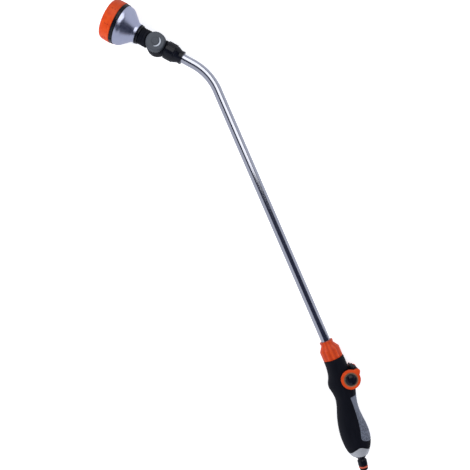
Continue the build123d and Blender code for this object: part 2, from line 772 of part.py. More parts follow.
with BuildPart() as head_nut:
    nut_profile = outline(
        head_frame,
        (nut_foot, union_r + gap),
        (nut_foot, head_nut_r - 1.6),
        (nut_foot + 0.8, head_nut_r - 0.8),
        (nut_foot + 2.6, head_nut_r - 0.8),
        (nut_foot + 2.6, head_nut_r - 1.6),
        (nut_foot + 3.6, head_nut_r - 1.6),
        (nut_foot + 3.6, head_nut_r - 0.3),
        (nut_foot + 4.2, head_nut_r),
        (nut_top - 0.5, head_nut_r),
        (nut_top, head_nut_r - 0.5),
        (nut_top, lip_r),
        (lip_back, lip_r),
        (lip_back, union_r + gap),
    )
    revolve(nut_profile, axis=head_axis)
    with BuildSketch(across(head_frame, nut_foot + 3.6)):
        with PolarLocations(head_nut_r + 0.7, 30):
            Circle(1.1)
    extrude(amount=nut_top - nut_foot - 4.2, mode=Mode.SUBTRACT)
head_nut.part.label = "head_nut"
export_step(head_nut.part.moved(rest), "parts/head_nut.step")

cone_foot = bell_back + 1.3
cone_top = 53.0
cone_top_r = 28.0
shoulder = 62.0
shoulder_r = 33.4
cone_way = (0.742, 0.67)
rim_way = (1, 0)
water_hole_r = 8.0


def bell_outline(inset):
    """The bell's curved side, from its neck to its rim, drawn in by an inset."""
    lean = inset * 0.7
    return (
        (cone_foot + lean, bell_neck_r - inset * 0.72),
        (cone_top + lean, cone_top_r - inset * 0.74),
        (shoulder + inset * 0.35, shoulder_r - inset * 0.94),
        (bell_rim, bell_r - inset),
    )


outer_side = bell_outline(0)
inner_side = bell_outline(bell_wall)
inner_floor = bell_back + bell_wall + 0.8

with BuildPart() as bell_housing:
    with BuildSketch(head_frame):
        with BuildLine():
            Line(outer_side[0], outer_side[1])
            Spline(outer_side[1:], tangents=(cone_way, rim_way))
            Line(outer_side[3], inner_side[3])
            Spline(inner_side[1:], tangents=(cone_way, rim_way))
            Line(inner_side[1], (inner_floor, bell_neck_r - 2.2))
            Polyline(
                (inner_floor, bell_neck_r - 2.2),
                (inner_floor, water_hole_r),
                (neck_end + washer_tall, water_hole_r),
                (neck_end + washer_tall, union_bore - 0.3),
                (flange_back, union_bore - 0.3),
                (flange_back, union_r - 0.05),
                (lip_back - gap, union_r - 0.05),
                (lip_back - gap, stem_r),
                (bell_back, stem_r),
                (bell_back, bell_neck_r),
                outer_side[0],
            )
        make_face()
    revolve(axis=head_axis)
bell_housing.part.label = "bell_housing"
export_step(bell_housing.part.moved(rest), "parts/bell_housing.step")

with BuildPart() as head_washer:
    extrude(disc(across(head_frame, neck_end), union_bore - 0.3, water_hole_r), amount=washer_tall)
head_washer.part.label = "head_washer"
export_step(head_washer.part.moved(rest), "parts/head_washer.step")

# --- index ring and water guide ---------------------------------------------------------------------
ring_front = dial_back - gap
ring_lip_r = bell_r - bell_wall - 4 * seat
screw_at = 28.0
guide_screw_r = 1.25
guide_screw_head = 2.3
spring_half = 8.0
spring_z = ring_front - 1.5

with BuildPart() as index_ring:
    ring_profile = outline(
        head_frame,
        (bell_rim - 3.5, guide_r + seat),
        (bell_rim - 3.5, ring_lip_r),
        (bell_rim, ring_lip_r),
        (bell_rim, index_ring_r - 0.6),
        (bell_rim + 0.6, index_ring_r),
        (ring_front, index_ring_r),
        (ring_front, ledge_r),
        (ledge_back, ledge_r),
        (ledge_back, guide_r + seat),
    )
    revolve(ring_profile, axis=head_axis)
    with BuildSketch(across(head_frame, bell_rim + 1.4)):
        with PolarLocations(index_ring_r, 12):
            Rectangle(1.6, 9)
    extrude(amount=2.2, mode=Mode.SUBTRACT)
    with BuildSketch(across(head_frame, ledge_back - 1)):
        with PolarLocations(screw_at, 3, 30):
            Circle(guide_screw_r)
    extrude(amount=2.7, mode=Mode.SUBTRACT)
    with BuildSketch(across(head_frame, spring_z)):
        with Locations((-stop_at, 0)):
            Rectangle(3.6, 2 * spring_half + 1)
    extrude(amount=5, mode=Mode.SUBTRACT)
index_ring.part.label = "index_ring"
export_step(index_ring.part.moved(rest), "parts/index_ring.step")

with BuildPart() as index_spring:
    with BuildSketch(across(head_frame, spring_z)):
        with Locations((-stop_at, 0)):
            Rectangle(3.0, 2 * spring_half)
    extrude(amount=0.5)
    nose_plane = Plane(
        origin=across(head_frame, spring_z + 0.5).from_local_coords((-stop_at - 1.2, 0, 0)),
        x_dir=head_way,
        z_dir=head_frame.y_dir,
    )
    with BuildSketch(nose_plane):
        Circle(1.5)
        with Locations((-5, 0)):
            Rectangle(10, 10, mode=Mode.SUBTRACT)
    extrude(amount=2.4)
index_spring.part.label = "index_spring"
export_step(index_spring.part.moved(rest), "parts/index_spring.step")

pocket_r = 6.1
throat_back = 66.0
pocket_back = 67.6

with BuildPart() as water_guide:
    extrude(disc(across(head_frame, guide_back), guide_r), amount=ledge_back - guide_back)
    with BuildSketch(across(head_frame, throat_back)):
        with Locations((port_at, 0)):
            Circle(pocket_r + 1.4)
    extrude(amount=ring_front - throat_back)
    extrude(disc(across(head_frame, guide_back), post_r), amount=post_end - guide_back)
    extrude(disc(across(head_frame, guide_back), post_r + 3), amount=ring_front - guide_back)
    with BuildSketch(across(head_frame, pocket_back)):
        with Locations((port_at, 0)):
            Circle(pocket_r)
    extrude(amount=20, mode=Mode.SUBTRACT)
    with BuildSketch(across(head_frame, throat_back - 1)):
        with Locations((port_at, 0)):
            Circle(pocket_r - 1.8)
    extrude(amount=5, mode=Mode.SUBTRACT)
    with BuildSketch(across(head_frame, guide_back - 1)):
        with PolarLocations(screw_at, 3, 30):
            Circle(guide_screw_r + seat)
    extrude(amount=10, mode=Mode.SUBTRACT)
    extrude(disc(across(head_frame, post_end), screw_r), amount=-12, mode=Mode.SUBTRACT)
water_guide.part.label = "water_guide"
export_step(water_guide.part.moved(rest), "parts/water_guide.step")

with BuildPart() as guide_screws:
    with BuildSketch(across(head_frame, guide_back)):
        with PolarLocations(screw_at, 3, 30):
            Circle(guide_screw_head)
    extrude(amount=-1.6)
    with BuildSketch(across(head_frame, guide_back)):
        with PolarLocations(screw_at, 3, 30):
            Circle(guide_screw_r)
    extrude(amount=3.6)
guide_screws.part.label = "guide_screws"
export_step(guide_screws.part.moved(rest), "parts/guide_screws.step")

seal_front = dial_back - running
spring_wire = 0.45
spring_coil_r = pocket_r - 0.9
spring_turns = 3

with BuildPart() as port_seal:
    with BuildSketch(across(head_frame, seal_front)):
        with Locations((port_at, 0)):
            Circle(pocket_r - seat)
            Circle(port_r, mode=Mode.SUBTRACT)
    extrude(amount=-4)
port_seal.part.label = "port_seal"
export_step(port_seal.part.moved(rest), "parts/port_seal.step")

spring_foot = across(head_frame, pocket_back + spring_wire).from_local_coords((port_at, 0, 0))
spring_space = seal_front - 4 - pocket_back - 2 * spring_wire
spring_pitch = spring_space / spring_turns

with BuildPart() as seal_spring:
    with BuildLine():
        Helix(spring_pitch, spring_space, spring_coil_r, center=spring_foot, direction=head_way)
    coil_start = seal_spring.pending_edges[0]
    with BuildSketch(Plane(origin=coil_start @ 0, z_dir=coil_start % 0)):
        Circle(spring_wire)
    sweep(is_frenet=True)
seal_spring.part.label = "seal_spring"
export_step(seal_spring.part.moved(rest), "parts/seal_spring.step")

# --- dial -----------------------------------------------------------------------------------
selector_thick = 2.0
hub_r = 7.6
hub_shoulder = post_end - 0.4
face_back = 91.2
face_thick = 2.0
washer_thick = 1.0
washer_r = 6.4
dial_bore = dial_r - dial_wall

with BuildPart() as selector_plate:
    extrude(disc(across(head_frame, dial_back), dial_bore - seat), amount=selector_thick)
    extrude(disc(across(head_frame, dial_back), hub_r + 1.4), amount=face_back - dial_back)
    with BuildSketch(across(head_frame, dial_back)):
        with PolarLocations((dial_bore + hub_r) / 2, patterns, 22.5):
            Rectangle(dial_bore - hub_r - 1, 1.2)
    extrude(amount=face_back - dial_back)
    with BuildSketch(across(head_frame, dial_back)):
        with PolarLocations(port_at, patterns):
            Circle(port_r)
    extrude(amount=selector_thick, mode=Mode.SUBTRACT)
    with BuildSketch(across(head_frame, dial_back)):
        with PolarLocations(stop_at, patterns):
            Circle(2.2)
    extrude(amount=1.3, mode=Mode.SUBTRACT)
    extrude(disc(across(head_frame, dial_back), post_r + running), amount=40, mode=Mode.SUBTRACT)
    extrude(disc(across(head_frame, hub_shoulder), washer_r + gap), amount=40, mode=Mode.SUBTRACT)
selector_plate.part.label = "selector_plate"
export_step(selector_plate.part.moved(rest), "parts/selector_plate.step")

with BuildPart() as face_plate:
    extrude(disc(across(head_frame, face_back), dial_bore - seat, hub_r), amount=face_thick)
    with BuildSketch(across(head_frame, face_back)):
        for ring_r, holes in ((13, 16), (17, 24), (21, 32), (25, 40), (29, 48)):
            with PolarLocations(ring_r, holes):
                Circle(0.6)
    extrude(amount=face_thick, mode=Mode.SUBTRACT)
face_plate.part.label = "face_plate"
export_step(face_plate.part.moved(rest), "parts/face_plate.step")

with BuildPart() as dial_ring:
    lip_back_x = face_back + face_thick
    dial_profile = outline(
        head_frame,
        (dial_back, dial_bore),
        (dial_back, dial_r - dial_edge),
        (dial_back + dial_edge, dial_r),
        (dial_front - 4.5, dial_r - 0.6),
        dial_corner,
        (dial_front, dial_r - 4.4),
        (dial_front, dial_bore - 2.4),
        (lip_back_x, dial_bore - 2.4),
        (lip_back_x, dial_bore),
    )
    revolve(dial_profile, axis=head_axis)
dial_ring.part.label = "dial_ring"
export_step(dial_ring.part.moved(rest), "parts/dial_ring.step")

with BuildPart() as dial_washer:
    extrude(disc(across(head_frame, post_end), washer_r, screw_r + seat), amount=washer_thick)
dial_washer.part.label = "dial_washer"
export_step(dial_washer.part.moved(rest), "parts/dial_washer.step")

with BuildPart() as dial_screw:
    extrude(disc(across(head_frame, post_end + washer_thick), 3.2), amount=1.8)
    extrude(disc(across(head_frame, post_end + washer_thick), screw_r), amount=-10)
    with BuildSketch(across(head_frame, post_end + washer_thick + 1.8)):
        Rectangle(4.4, 0.8)
        Rectangle(0.8, 4.4)
    extrude(amount=-0.8, mode=Mode.SUBTRACT)
dial_screw.part.label = "dial_screw"
export_step(dial_screw.part.moved(rest), "parts/dial_screw.step")

with BuildPart() as centre_cap:
    extrude(disc(across(head_frame, face_back + face_thick - 1), hub_r - seat), amount=1.8)
    chamfer(centre_cap.faces().sort_by(head_axis)[-1].edges(), 0.5)
    extrude(disc(across(head_frame, face_back + 0.2), hub_r - seat, hub_r - 0.7), amount=1)
centre_cap.part.label = "centre_cap"
export_step(centre_cap.part.moved(rest), "parts/centre_cap.step")
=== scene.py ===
import json
from math import cos, pi, radians, sin, tau

import bmesh
import bpy
import numpy as np
from mathutils import Matrix, Vector

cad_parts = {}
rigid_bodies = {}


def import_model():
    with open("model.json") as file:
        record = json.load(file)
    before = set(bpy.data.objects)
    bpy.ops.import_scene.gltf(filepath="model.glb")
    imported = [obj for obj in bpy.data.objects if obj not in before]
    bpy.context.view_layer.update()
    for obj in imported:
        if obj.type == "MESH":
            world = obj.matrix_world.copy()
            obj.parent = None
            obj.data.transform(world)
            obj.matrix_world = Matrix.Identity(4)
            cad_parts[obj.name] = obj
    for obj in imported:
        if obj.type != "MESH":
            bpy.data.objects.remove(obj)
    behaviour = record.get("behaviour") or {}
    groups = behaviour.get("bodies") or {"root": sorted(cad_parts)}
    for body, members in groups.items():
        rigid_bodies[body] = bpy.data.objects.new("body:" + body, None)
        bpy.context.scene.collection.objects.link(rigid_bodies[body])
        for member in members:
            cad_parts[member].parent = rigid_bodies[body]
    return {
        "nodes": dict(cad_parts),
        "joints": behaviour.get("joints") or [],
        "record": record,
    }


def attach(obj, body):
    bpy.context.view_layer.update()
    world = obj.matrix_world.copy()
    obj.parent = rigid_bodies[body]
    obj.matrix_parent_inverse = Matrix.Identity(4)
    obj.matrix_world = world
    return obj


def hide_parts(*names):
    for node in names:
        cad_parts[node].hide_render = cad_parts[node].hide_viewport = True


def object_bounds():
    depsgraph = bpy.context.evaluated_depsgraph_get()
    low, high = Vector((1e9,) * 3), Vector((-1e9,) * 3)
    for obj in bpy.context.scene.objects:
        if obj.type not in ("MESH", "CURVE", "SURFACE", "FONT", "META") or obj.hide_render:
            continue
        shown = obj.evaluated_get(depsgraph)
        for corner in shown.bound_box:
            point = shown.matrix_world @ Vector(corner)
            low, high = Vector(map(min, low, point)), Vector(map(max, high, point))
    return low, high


for leftover in list(bpy.data.objects):
    bpy.data.objects.remove(leftover)
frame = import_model()
cad_low, cad_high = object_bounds()

# A watering wand that lies on its side. Sizes are in millimetres, and meshes come out in metres.
MM = 0.001

# --- sizes ------------------------------------------------------------------------------------
nut_body = 17.5              # handle's top face to the cone of its nut
cone_end = 26.5              # open face of a nut to the end of its cone
collar_r = 11.25
thread_r = 12.4              # bore of a nut where its thread is
groove_r = 11.2              # seat of the tube's seal and ferrule in a nut
flute_count = 12             # flutes round the orange nut
flute_depth = 1.15
tab_count = 10               # raised tabs round the black nut
tab_height = 1.0
bend_reach = 536.0           # handle's top face to the corner of the bend
bend_radius = 95.0
tube_r = 8.0
tube_wall = 1.2
nose_land = (142.5, 151.0)   # corner of the grip to the ends of the connector's land
nose_r = 8.15
waist_r = 6.3                # connector between its flange and its land
inlet_r = 4.5                # the connector's bore
knob_rib_count = 36
knob_rib_half = 0.75
bolt_room = (6.5, 6.2)       # depth and radius of the knob's hollow foot
mark_r = 8.9                 # middle line of the knob's crescent
band_start = 4.4             # foot of the head nut to its gripping band
neck_cover = 4.4             # how much of the head nut's front the bell's neck covers
scallop_count = 30           # round the head nut's gripping band
window_count = 12            # round the index ring
nut_bore_r = 13.85
bell_low = 40.8              # swivel's pin to the bell's back wall
bell_wall = 1.5
bell_neck_r = 17.2
rim_back = 3.2               # how far the bell's rim is drawn back towards its neck
ring_back = 1.9              # the same for the index ring's and the dial's edges
ring_seat = 73.6             # swivel's pin to the face that the index ring rests on
ring_inner_r = (31.0, 25.0, 33.15)   # radii of its bore, its web's bore and its back edge
dial_grip = 3.6              # thickness of the dial's wall
dial_web = 93.2              # swivel's pin to the back of the dial's front web
mark_count = 8               # marks round the dial
cap_r = 10.2                 # the lever's caps
cap_rise = 4.6               # height of the near cap's dome
# radius and number of the jets in each ring on the spray face
hole_rings = ((13.0, 16), (17.0, 24), (21.0, 32), (25.0, 40), (29.0, 48))


# --- places -----------------------------------------------------------------------------------
class Place:
    """A right-handed frame on the wand, in which pieces are drawn in millimetres."""

    def __init__(self, origin, x, z):
        x = Vector(x).normalized()
        z = Vector(z).normalized()
        self.x, self.y, self.z = x, z.cross(x), z
        self.turn = Matrix((self.x, self.y, self.z)).transposed()
        self.matrix = (
            Matrix.Translation(Vector(origin)) @ self.turn.to_4x4() @ Matrix.Scale(MM, 4)
        )
        self.inverse = self.matrix.inverted()

    def point(self, x, y=0.0, z=0.0):
        """A point of this place, in metres."""
        return self.matrix @ Vector((x, y, z))

    def corners(self, node):
        """The vertices of a CAD node in this place."""
        mesh = frame["nodes"][node].data
        flat = np.empty(len(mesh.vertices) * 3, np.float32)
        mesh.vertices.foreach_get("co", flat)
        turn = np.array(self.inverse)
        return flat.reshape(-1, 3) @ turn[:3, :3].T + turn[:3, 3]

    def span(self, node):
        """How far a CAD node reaches along X, as two distances."""
        along = self.corners(node)[:, 0]
        return float(along.min()), float(along.max())

    def radius(self, node):
        """The largest distance of a CAD node from the X axis."""
        points = self.corners(node)
        return float(np.hypot(points[:, 1], points[:, 2]).max())


joints = {joint["name"]: joint for joint in frame["joints"]}
mounts = {mount["name"]: mount for mount in frame["record"]["mounts"]}
bodies = frame["record"]["behaviour"]["bodies"]
body_of = {node: body for body, nodes in bodies.items() for node in nodes}
slot_of = {part["node"]: part["material_slot"] for part in frame["record"]["subparts"]}
up = Vector(joints["head_swivel"]["axis"])
tube_way = Vector(joints["handle_nut_turn"]["axis"])
head_way = Vector(joints["dial_turn"]["axis"])
grip_way = Vector(mounts["hose_nose"]["axis"])
pin_point = Vector(joints["head_swivel"]["pos_m"])

wand = Place(Vector(joints["handle_nut_turn"]["pos_m"]) - tube_way * nut_body * MM, tube_way, up)
nose_middle = sum(nose_land) / 2
grip = Place(Vector(mounts["hose_nose"]["pos_m"]) - grip_way * nose_middle * MM, grip_way, up)
head = Place(pin_point, head_way, up)
fit = Place(joints["tube_nut_turn"]["pos_m"], -head_way, up)
pin = Place(pin_point, up, head.y)
valve = Place(joints["lever_turn"]["pos_m"], up, wand.x)


# --- node trees -------------------------------------------------------------------------------
class Socket:
    """An output in a node tree. Arithmetic on it adds Math nodes."""

    def __init__(self, tree, socket):
        self.tree = tree
        self.socket = socket

    def maths(self, operation, one, other):
        return self.tree.node("ShaderNodeMath", {"operation": operation}, {0: one, 1: other})

    def __add__(self, other):
        return self.maths("ADD", self, other)

    def __radd__(self, other):
        return self.maths("ADD", other, self)

    def __sub__(self, other):
        return self.maths("SUBTRACT", self, other)

    def __rsub__(self, other):
        return self.maths("SUBTRACT", other, self)

    def __mul__(self, other):
        return self.maths("MULTIPLY", self, other)

    def __rmul__(self, other):
        return self.maths("MULTIPLY", other, self)


class Tree:
    """A node tree, of a material or of Geometry Nodes."""

    def __init__(self, tree):
        self.tree = tree

    def node(self, kind, settings=None, inputs=None, output=0):
        """Adds a node: first its settings, then the values or links of its inputs."""
        made = self.tree.nodes.new(kind)
        for key, value in (settings or {}).items():
            if key == "stops":
                stops = made.color_ramp.elements
                while len(stops) < len(value):
                    stops.new(0.5)
                for stop, (place, shade) in zip(stops, value):
                    stop.position = place
                    stop.color = (shade, shade, shade, 1.0)
            else:
                setattr(made, key, value)
        for key, value in (inputs or {}).items():
            if isinstance(value, Socket):
                self.tree.links.new(value.socket, made.inputs[key])
            else:
                made.inputs[key].default_value = value
        return Socket(self, made.outputs[output])

    def local(self, place, stretch=(1.0, 1.0, 1.0)):
        """Object coordinates turned into a place's millimetres, each divided by its stretch."""
        inverse = place.inverse
        turned_round = self.node(
            "ShaderNodeMapping",
            inputs={
                "Vector": self.node("ShaderNodeTexCoord", output="Object"),
                "Location": inverse.translation,
                "Rotation": inverse.to_3x3().normalized().to_euler(),
                "Scale": (1 / MM,) * 3,
            },
        )
        return self.node(
            "ShaderNodeVectorMath", {"operation": "DIVIDE"}, {0: turned_round, 1: Vector(stretch)}
        )

    def noise(self, where, size, detail=2.0, roughness=0.5):
        """Noise from 0 to 1, whose grain is about so many millimetres."""
        return self.node(
            "ShaderNodeTexNoise",
            inputs={"Vector": where, "Scale": 1 / size, "Detail": detail, "Roughness": roughness},
        )

    def ramp(self, value, *stops):
        """A value passed through stops, each a place and a level."""
        return self.node("ShaderNodeValToRGB", {"stops": stops}, {"Fac": value})

    def mix(self, share, one, other):
        """A colour between two others."""
        return self.node(
            "ShaderNodeMix",
            {"data_type": "RGBA"},
            {0: share, 6: one if isinstance(one, Socket) else (*one, 1.0), 7: (*other, 1.0)},
            output=2,
        )

    def bump(self, height, depth):
        """A normal from a height that is so many millimetres deep."""
        return self.node(
            "ShaderNodeBump", inputs={"Height": height, "Distance": depth * MM, "Strength": 1.0}
        )


def surface(name, build, **constants):
    """A material. The constants are set on its shader, and build returns what varies over it."""
    made = bpy.data.materials.new(name)
    made.use_nodes = True
    shader = made.node_tree.nodes["Principled BSDF"]
    for key, value in constants.items():
        shader.inputs[key.replace("_", " ")].default_value = value
    for key, value in build(Tree(made.node_tree)).items():
        made.node_tree.links.new(value.socket, shader.inputs[key])
    return made


# --- finishes ---------------------------------------------------------------------------------
deep_black = ((0.0025, 0.003, 0.006), (0.0065, 0.0075, 0.013))
orange_pair = ((0.56, 0.044, 0.004), (0.70, 0.074, 0.007))
# painted shade: a darker orange painted into the flutes of the handle nut
flute_shade_orange = (0.36, 0.022, 0.003)
# painted shade: olive for the shaded slope between the lever's orange cheek and its black cap
painted_shade_olive = (0.16, 0.14, 0.09)
mottle_span = (48.0, 72.0)   # where the palm's mottling begins and where it is full
shaded_slope_span = (11.6, 12.8)    # radii between which the painted shade on the lever's slope fades into its orange
cap_shade_span = (9.7, 10.1)  # radii between which its cap's edge takes on the same painted shade


def moulded(dark, light, gloss, grain=0.5, depth=0.02):
    """Moulded plastic: broad cloudy colour, uneven gloss and a fine grain."""

    def build(tree):
        cloud = tree.ramp(tree.noise(tree.local(wand), 9.0, 3.0), (0.3, 0.0), (0.7, 1.0))
        fine = tree.noise(tree.local(wand), grain, 2.0)
        return {
            "Base Color": tree.mix(cloud, dark, light),
            "Roughness": gloss - 0.07 + 0.1 * cloud + 0.08 * fine,
            "Normal": tree.bump(fine, depth),
        }

    return build


def soft_grip(tree):
    """Soft black rubber with a fine pebbled grain."""
    cloud = tree.noise(tree.local(grip, (6.0, 1.0, 1.0)), 5.0, 3.0)
    pebble = tree.node(
        "ShaderNodeTexVoronoi", inputs={"Vector": tree.local(grip), "Scale": 1 / 0.8}
    )
    return {
        "Base Color": tree.mix(cloud, *deep_black),
        "Roughness": 0.38 + 0.2 * cloud + 0.08 * pebble,
        "Normal": tree.bump(pebble, 0.05),
    }


def palm_rubber(tree):
    """Blue-grey rubber, smooth near its tip and mottled towards its foot."""
    where = tree.local(grip)
    along = tree.node("ShaderNodeSeparateXYZ", inputs={0: where})
    first, last = mottle_span
    lower = tree.node(
        "ShaderNodeMapRange", inputs={"Value": along, "From Min": first, "From Max": last}
    )
    mottle = tree.ramp(tree.noise(where, 2.8, 3.0, 0.6), (0.42, 0.0), (0.58, 1.0))
    fine = tree.noise(where, 0.5, 2.0)
    return {
        "Base Color": tree.mix(
            mottle * (0.2 + 0.8 * lower), (0.152, 0.168, 0.216), (0.078, 0.088, 0.116)
        ),
        "Roughness": 0.48 + 0.14 * mottle,
        "Normal": tree.bump(mottle * lower * 0.6 + 0.4 * fine, 0.2),
    }


def silver_paint(tree):
    """Silver paint, with flakes and a broad cloudiness."""
    where = tree.local(grip)
    flake = tree.ramp(tree.noise(where, 1.1, 3.0, 0.7), (0.35, 0.0), (0.65, 1.0))
    cloud = tree.noise(where, 7.0, 2.0)
    return {
        "Base Color": tree.mix(flake * 0.6 + 0.4 * cloud, (0.36, 0.375, 0.40), (0.68, 0.70, 0.74)),
        "Roughness": 0.4 + 0.16 * flake,
        "Normal": tree.bump(flake, 0.05),
    }


def bright_orange(tree):
    """Orange plastic, a little uneven in colour and gloss."""
    where = tree.local(wand)
    cloud = tree.ramp(tree.noise(where, 7.0, 3.0, 0.6), (0.3, 0.0), (0.7, 1.0))
    fine = tree.noise(where, 0.7, 3.0)
    return {
        "Base Color": tree.mix(cloud, *orange_pair),
        "Roughness": 0.3 + 0.1 * fine + 0.08 * cloud,
        "Normal": tree.bump(fine, 0.03),
    }


def drawn_metal(tree):
    """Polished tube with fine lines along it."""
    run = tree.node("ShaderNodeAttribute", {"attribute_name": "run"}, output="Fac")
    around = tree.node("ShaderNodeAttribute", {"attribute_name": "around"}, output="Vector")
    girth = tree.node("ShaderNodeSeparateXYZ", inputs={0: around})
    across = tree.node("ShaderNodeSeparateXYZ", inputs={0: around}, output=1)
    lines_along, lines_round = 20.0, 2500.0   # how often the lines change in a metre
    where = tree.node(
        "ShaderNodeCombineXYZ",
        inputs={"X": lines_along * run, "Y": lines_round * girth, "Z": lines_round * across},
    )
    line = tree.noise(where, 1.0, 4.0, 0.6)
    cloud = tree.noise(tree.local(wand, (8.0, 1.0, 1.0)), 6.0, 2.0)
    return {
        "Base Color": tree.mix(cloud, (0.54, 0.555, 0.64), (0.63, 0.645, 0.72)),
        "Roughness": 0.08 + 0.06 * line + 0.05 * cloud,
        "Normal": tree.bump(line, 0.008),
    }


def turned_metal(one, other, gloss):
    """Metal turned on a lathe, with fine rings round the head's axis."""

    def build(tree):
        ring = tree.noise(tree.local(head, (1.0, 40.0, 40.0)), 0.35, 3.0, 0.6)
        cloud = tree.noise(tree.local(head), 8.0, 2.0)
        return {
            "Base Color": tree.mix(cloud, one, other),
            "Roughness": gloss + 0.08 * ring + 0.06 * cloud,
            "Normal": tree.bump(ring, 0.005),
        }

    return build


def orange_with_flute_shade(tree):
    """The orange of the handle nut, with painted shade darkening its flutes."""
    flat = bright_orange(tree)
    where = tree.local(wand)
    across = tree.node("ShaderNodeSeparateXYZ", inputs={0: where}, output=1)
    height = tree.node("ShaderNodeSeparateXYZ", inputs={0: where}, output=2)
    angle = tree.node("ShaderNodeMath", {"operation": "ARCTAN2"}, {0: height, 1: across})
    wave = tree.node("ShaderNodeMath", {"operation": "COSINE"}, {0: flute_count * angle})
    # painted shade: the orange is darkened in the flutes, by angle round the wand
    flat["Base Color"] = tree.mix(0.3 - 0.3 * wave, flat["Base Color"], flute_shade_orange)
    return flat


def drum_look(tree):
    """Matt black plastic with fine turned rings round the swivel's pin."""
    ring = tree.noise(tree.local(pin, (1.0, 60.0, 60.0)), 1.1, 2.0, 0.6)
    fine = tree.noise(tree.local(pin), 0.5, 2.0)
    return {
        "Base Color": tree.mix(ring, (0.002, 0.0025, 0.005), (0.009, 0.010, 0.018)),
        "Roughness": 0.5 + 0.2 * ring,
        "Normal": tree.bump(0.8 * ring + 0.2 * fine, 0.12),
    }


def beyond(tree, place, start, end):
    """How far a point lies beyond a radius about a place's X axis, from 0 to 1."""
    where = tree.local(place)
    side = tree.node("ShaderNodeSeparateXYZ", inputs={0: where}, output=1)
    rise = tree.node("ShaderNodeSeparateXYZ", inputs={0: where}, output=2)
    return tree.node(
        "ShaderNodeMapRange",
        {"interpolation_type": "SMOOTHSTEP"},
        {"Value": side * side + rise * rise, "From Min": start**2, "From Max": end**2},
    )


def lever_orange_with_shade(tree):
    """The orange of the lever, with painted shade in olive on the slope round its cap."""
    flat = bright_orange(tree)
    # painted shade: olive on the slope between the cheek and its cap
    slope = 0.85 - 0.85 * beyond(tree, valve, *shaded_slope_span)
    flat["Base Color"] = tree.mix(slope, flat["Base Color"], painted_shade_olive)
    return flat


def cap_look(tree):
    """Glossy black, with painted shade in olive at its edge."""
    flat = moulded(*deep_black, 0.14, 0.8, 0.008)(tree)
    # painted shade: the olive of the lever's shaded slope carried onto the cap's edge
    edge = beyond(tree, valve, *cap_shade_span)
    flat["Base Color"] = tree.mix(edge, flat["Base Color"], painted_shade_olive)
    return flat


finishes = {
    "soft_black": surface("soft_black", soft_grip, Specular_IOR_Level=0.12),
    "hard_black": surface("hard_black", moulded(*deep_black, 0.2), Specular_IOR_Level=0.28),
    "palm_grey": surface("palm_grey", palm_rubber, Specular_IOR_Level=0.25),
    "silver_paint": surface("silver_paint", silver_paint, Metallic=0.5),
    "orange": surface("orange", bright_orange, Specular_IOR_Level=0.22),
    "tube_aluminium": surface("tube_aluminium", drawn_metal, Metallic=1.0),
    "bell_metal": surface(
        "bell_metal", turned_metal((0.54, 0.57, 0.76), (0.62, 0.65, 0.84), 0.23), Metallic=1.0
    ),
    "knob_grey": surface("knob_grey", moulded((0.042, 0.049, 0.062), (0.060, 0.070, 0.087), 0.5)),
    "light_grey": surface("light_grey", moulded((0.42, 0.46, 0.52), (0.52, 0.56, 0.62), 0.5)),
    "inner_grey": surface("inner_grey", moulded((0.05, 0.055, 0.065), (0.09, 0.1, 0.11), 0.45)),
    "seal_rubber": surface("seal_rubber", moulded((0.012,) * 3, (0.025,) * 3, 0.65)),
    "orange_rubber": surface(
        "orange_rubber", moulded((0.42, 0.05, 0.02), (0.62, 0.11, 0.05), 0.4)
    ),
    "steel": surface(
        "steel", turned_metal((0.52, 0.53, 0.55), (0.66, 0.67, 0.7), 0.24), Metallic=1.0
    ),
    "brass": surface(
        "brass", turned_metal((0.62, 0.44, 0.17), (0.75, 0.56, 0.25), 0.26), Metallic=1.0
    ),
}
mark_orange = surface(
    "mark_orange",
    moulded((0.25, 0.016, 0.004), (0.34, 0.028, 0.006), 0.4),
    Specular_IOR_Level=0.2,
)
nut_orange = surface("nut_orange", orange_with_flute_shade, Specular_IOR_Level=0.3)
lever_finish = surface("lever_orange_with_shade", lever_orange_with_shade, Specular_IOR_Level=0.22)
nut_gloss = surface(
    "nut_gloss", moulded(*deep_black, 0.14, 0.8, 0.01), Specular_IOR_Level=0.26
)
drum_black = surface("drum_black", drum_look, Specular_IOR_Level=0.1)
cap_gloss = surface("cap_gloss", cap_look, Specular_IOR_Level=0.3)
for node, thing in frame["nodes"].items():
    thing.data.materials.clear()
    thing.data.materials.append(finishes[slot_of[node]])


# --- mesh tools -------------------------------------------------------------------------------
def rounded(*corners, steps=4):
    """An outline of (distance, radius) corners. A third number rounds a corner by so much."""
    points = []
    for number, corner in enumerate(corners):
        here = Vector(corner[:2])
        if len(corner) == 2:
            points.append(here)
            continue
        before = Vector(corners[number - 1][:2]) - here
        after = Vector(corners[(number + 1) % len(corners)][:2]) - here
        reach = min(corner[2], before.length * 0.48, after.length * 0.48)
        start = here + before.normalized() * reach
        end = here + after.normalized() * reach
        for step in range(steps + 1):
            share = step / steps
            points.append(start.lerp(here, share).lerp(here.lerp(end, share), share))
    return points


def divided(outline, longest):
    """The same outline with its long runs divided."""
    points = []
    for here, after in zip(outline, outline[1:] + outline[:1]):
        count = max(1, round((after - here).length / longest))
        points += [here.lerp(after, k / count) for k in range(count)]
    return points


def lathed(outline, segments=96, swell=None):
    """A mesh turned about X from (distance, radius) points. swell alters a radius by its angle."""
    shape = bmesh.new()
    rings = []
    for along, radius in outline:
        if radius < 1e-6:
            rings.append([shape.verts.new((along, 0.0, 0.0))])
            continue
        ring = []
        for number in range(segments):
            angle = tau * number / segments
            reach = swell(angle, along, radius) if swell else radius
            ring.append(shape.verts.new((along, reach * cos(angle), reach * sin(angle))))
        rings.append(ring)
    closed = len(rings[0]) == 1 and len(rings[-1]) == 1
    for one, other in zip(rings, rings[1:] if closed else rings[1:] + rings[:1]):
        for number in range(segments):
            corners = (
                one[number % len(one)],
                one[(number + 1) % len(one)],
                other[(number + 1) % len(other)],
                other[number % len(other)],
            )
            corners = list(dict.fromkeys(corners))
            if len(corners) > 2:
                shape.faces.new(corners)
    return shape


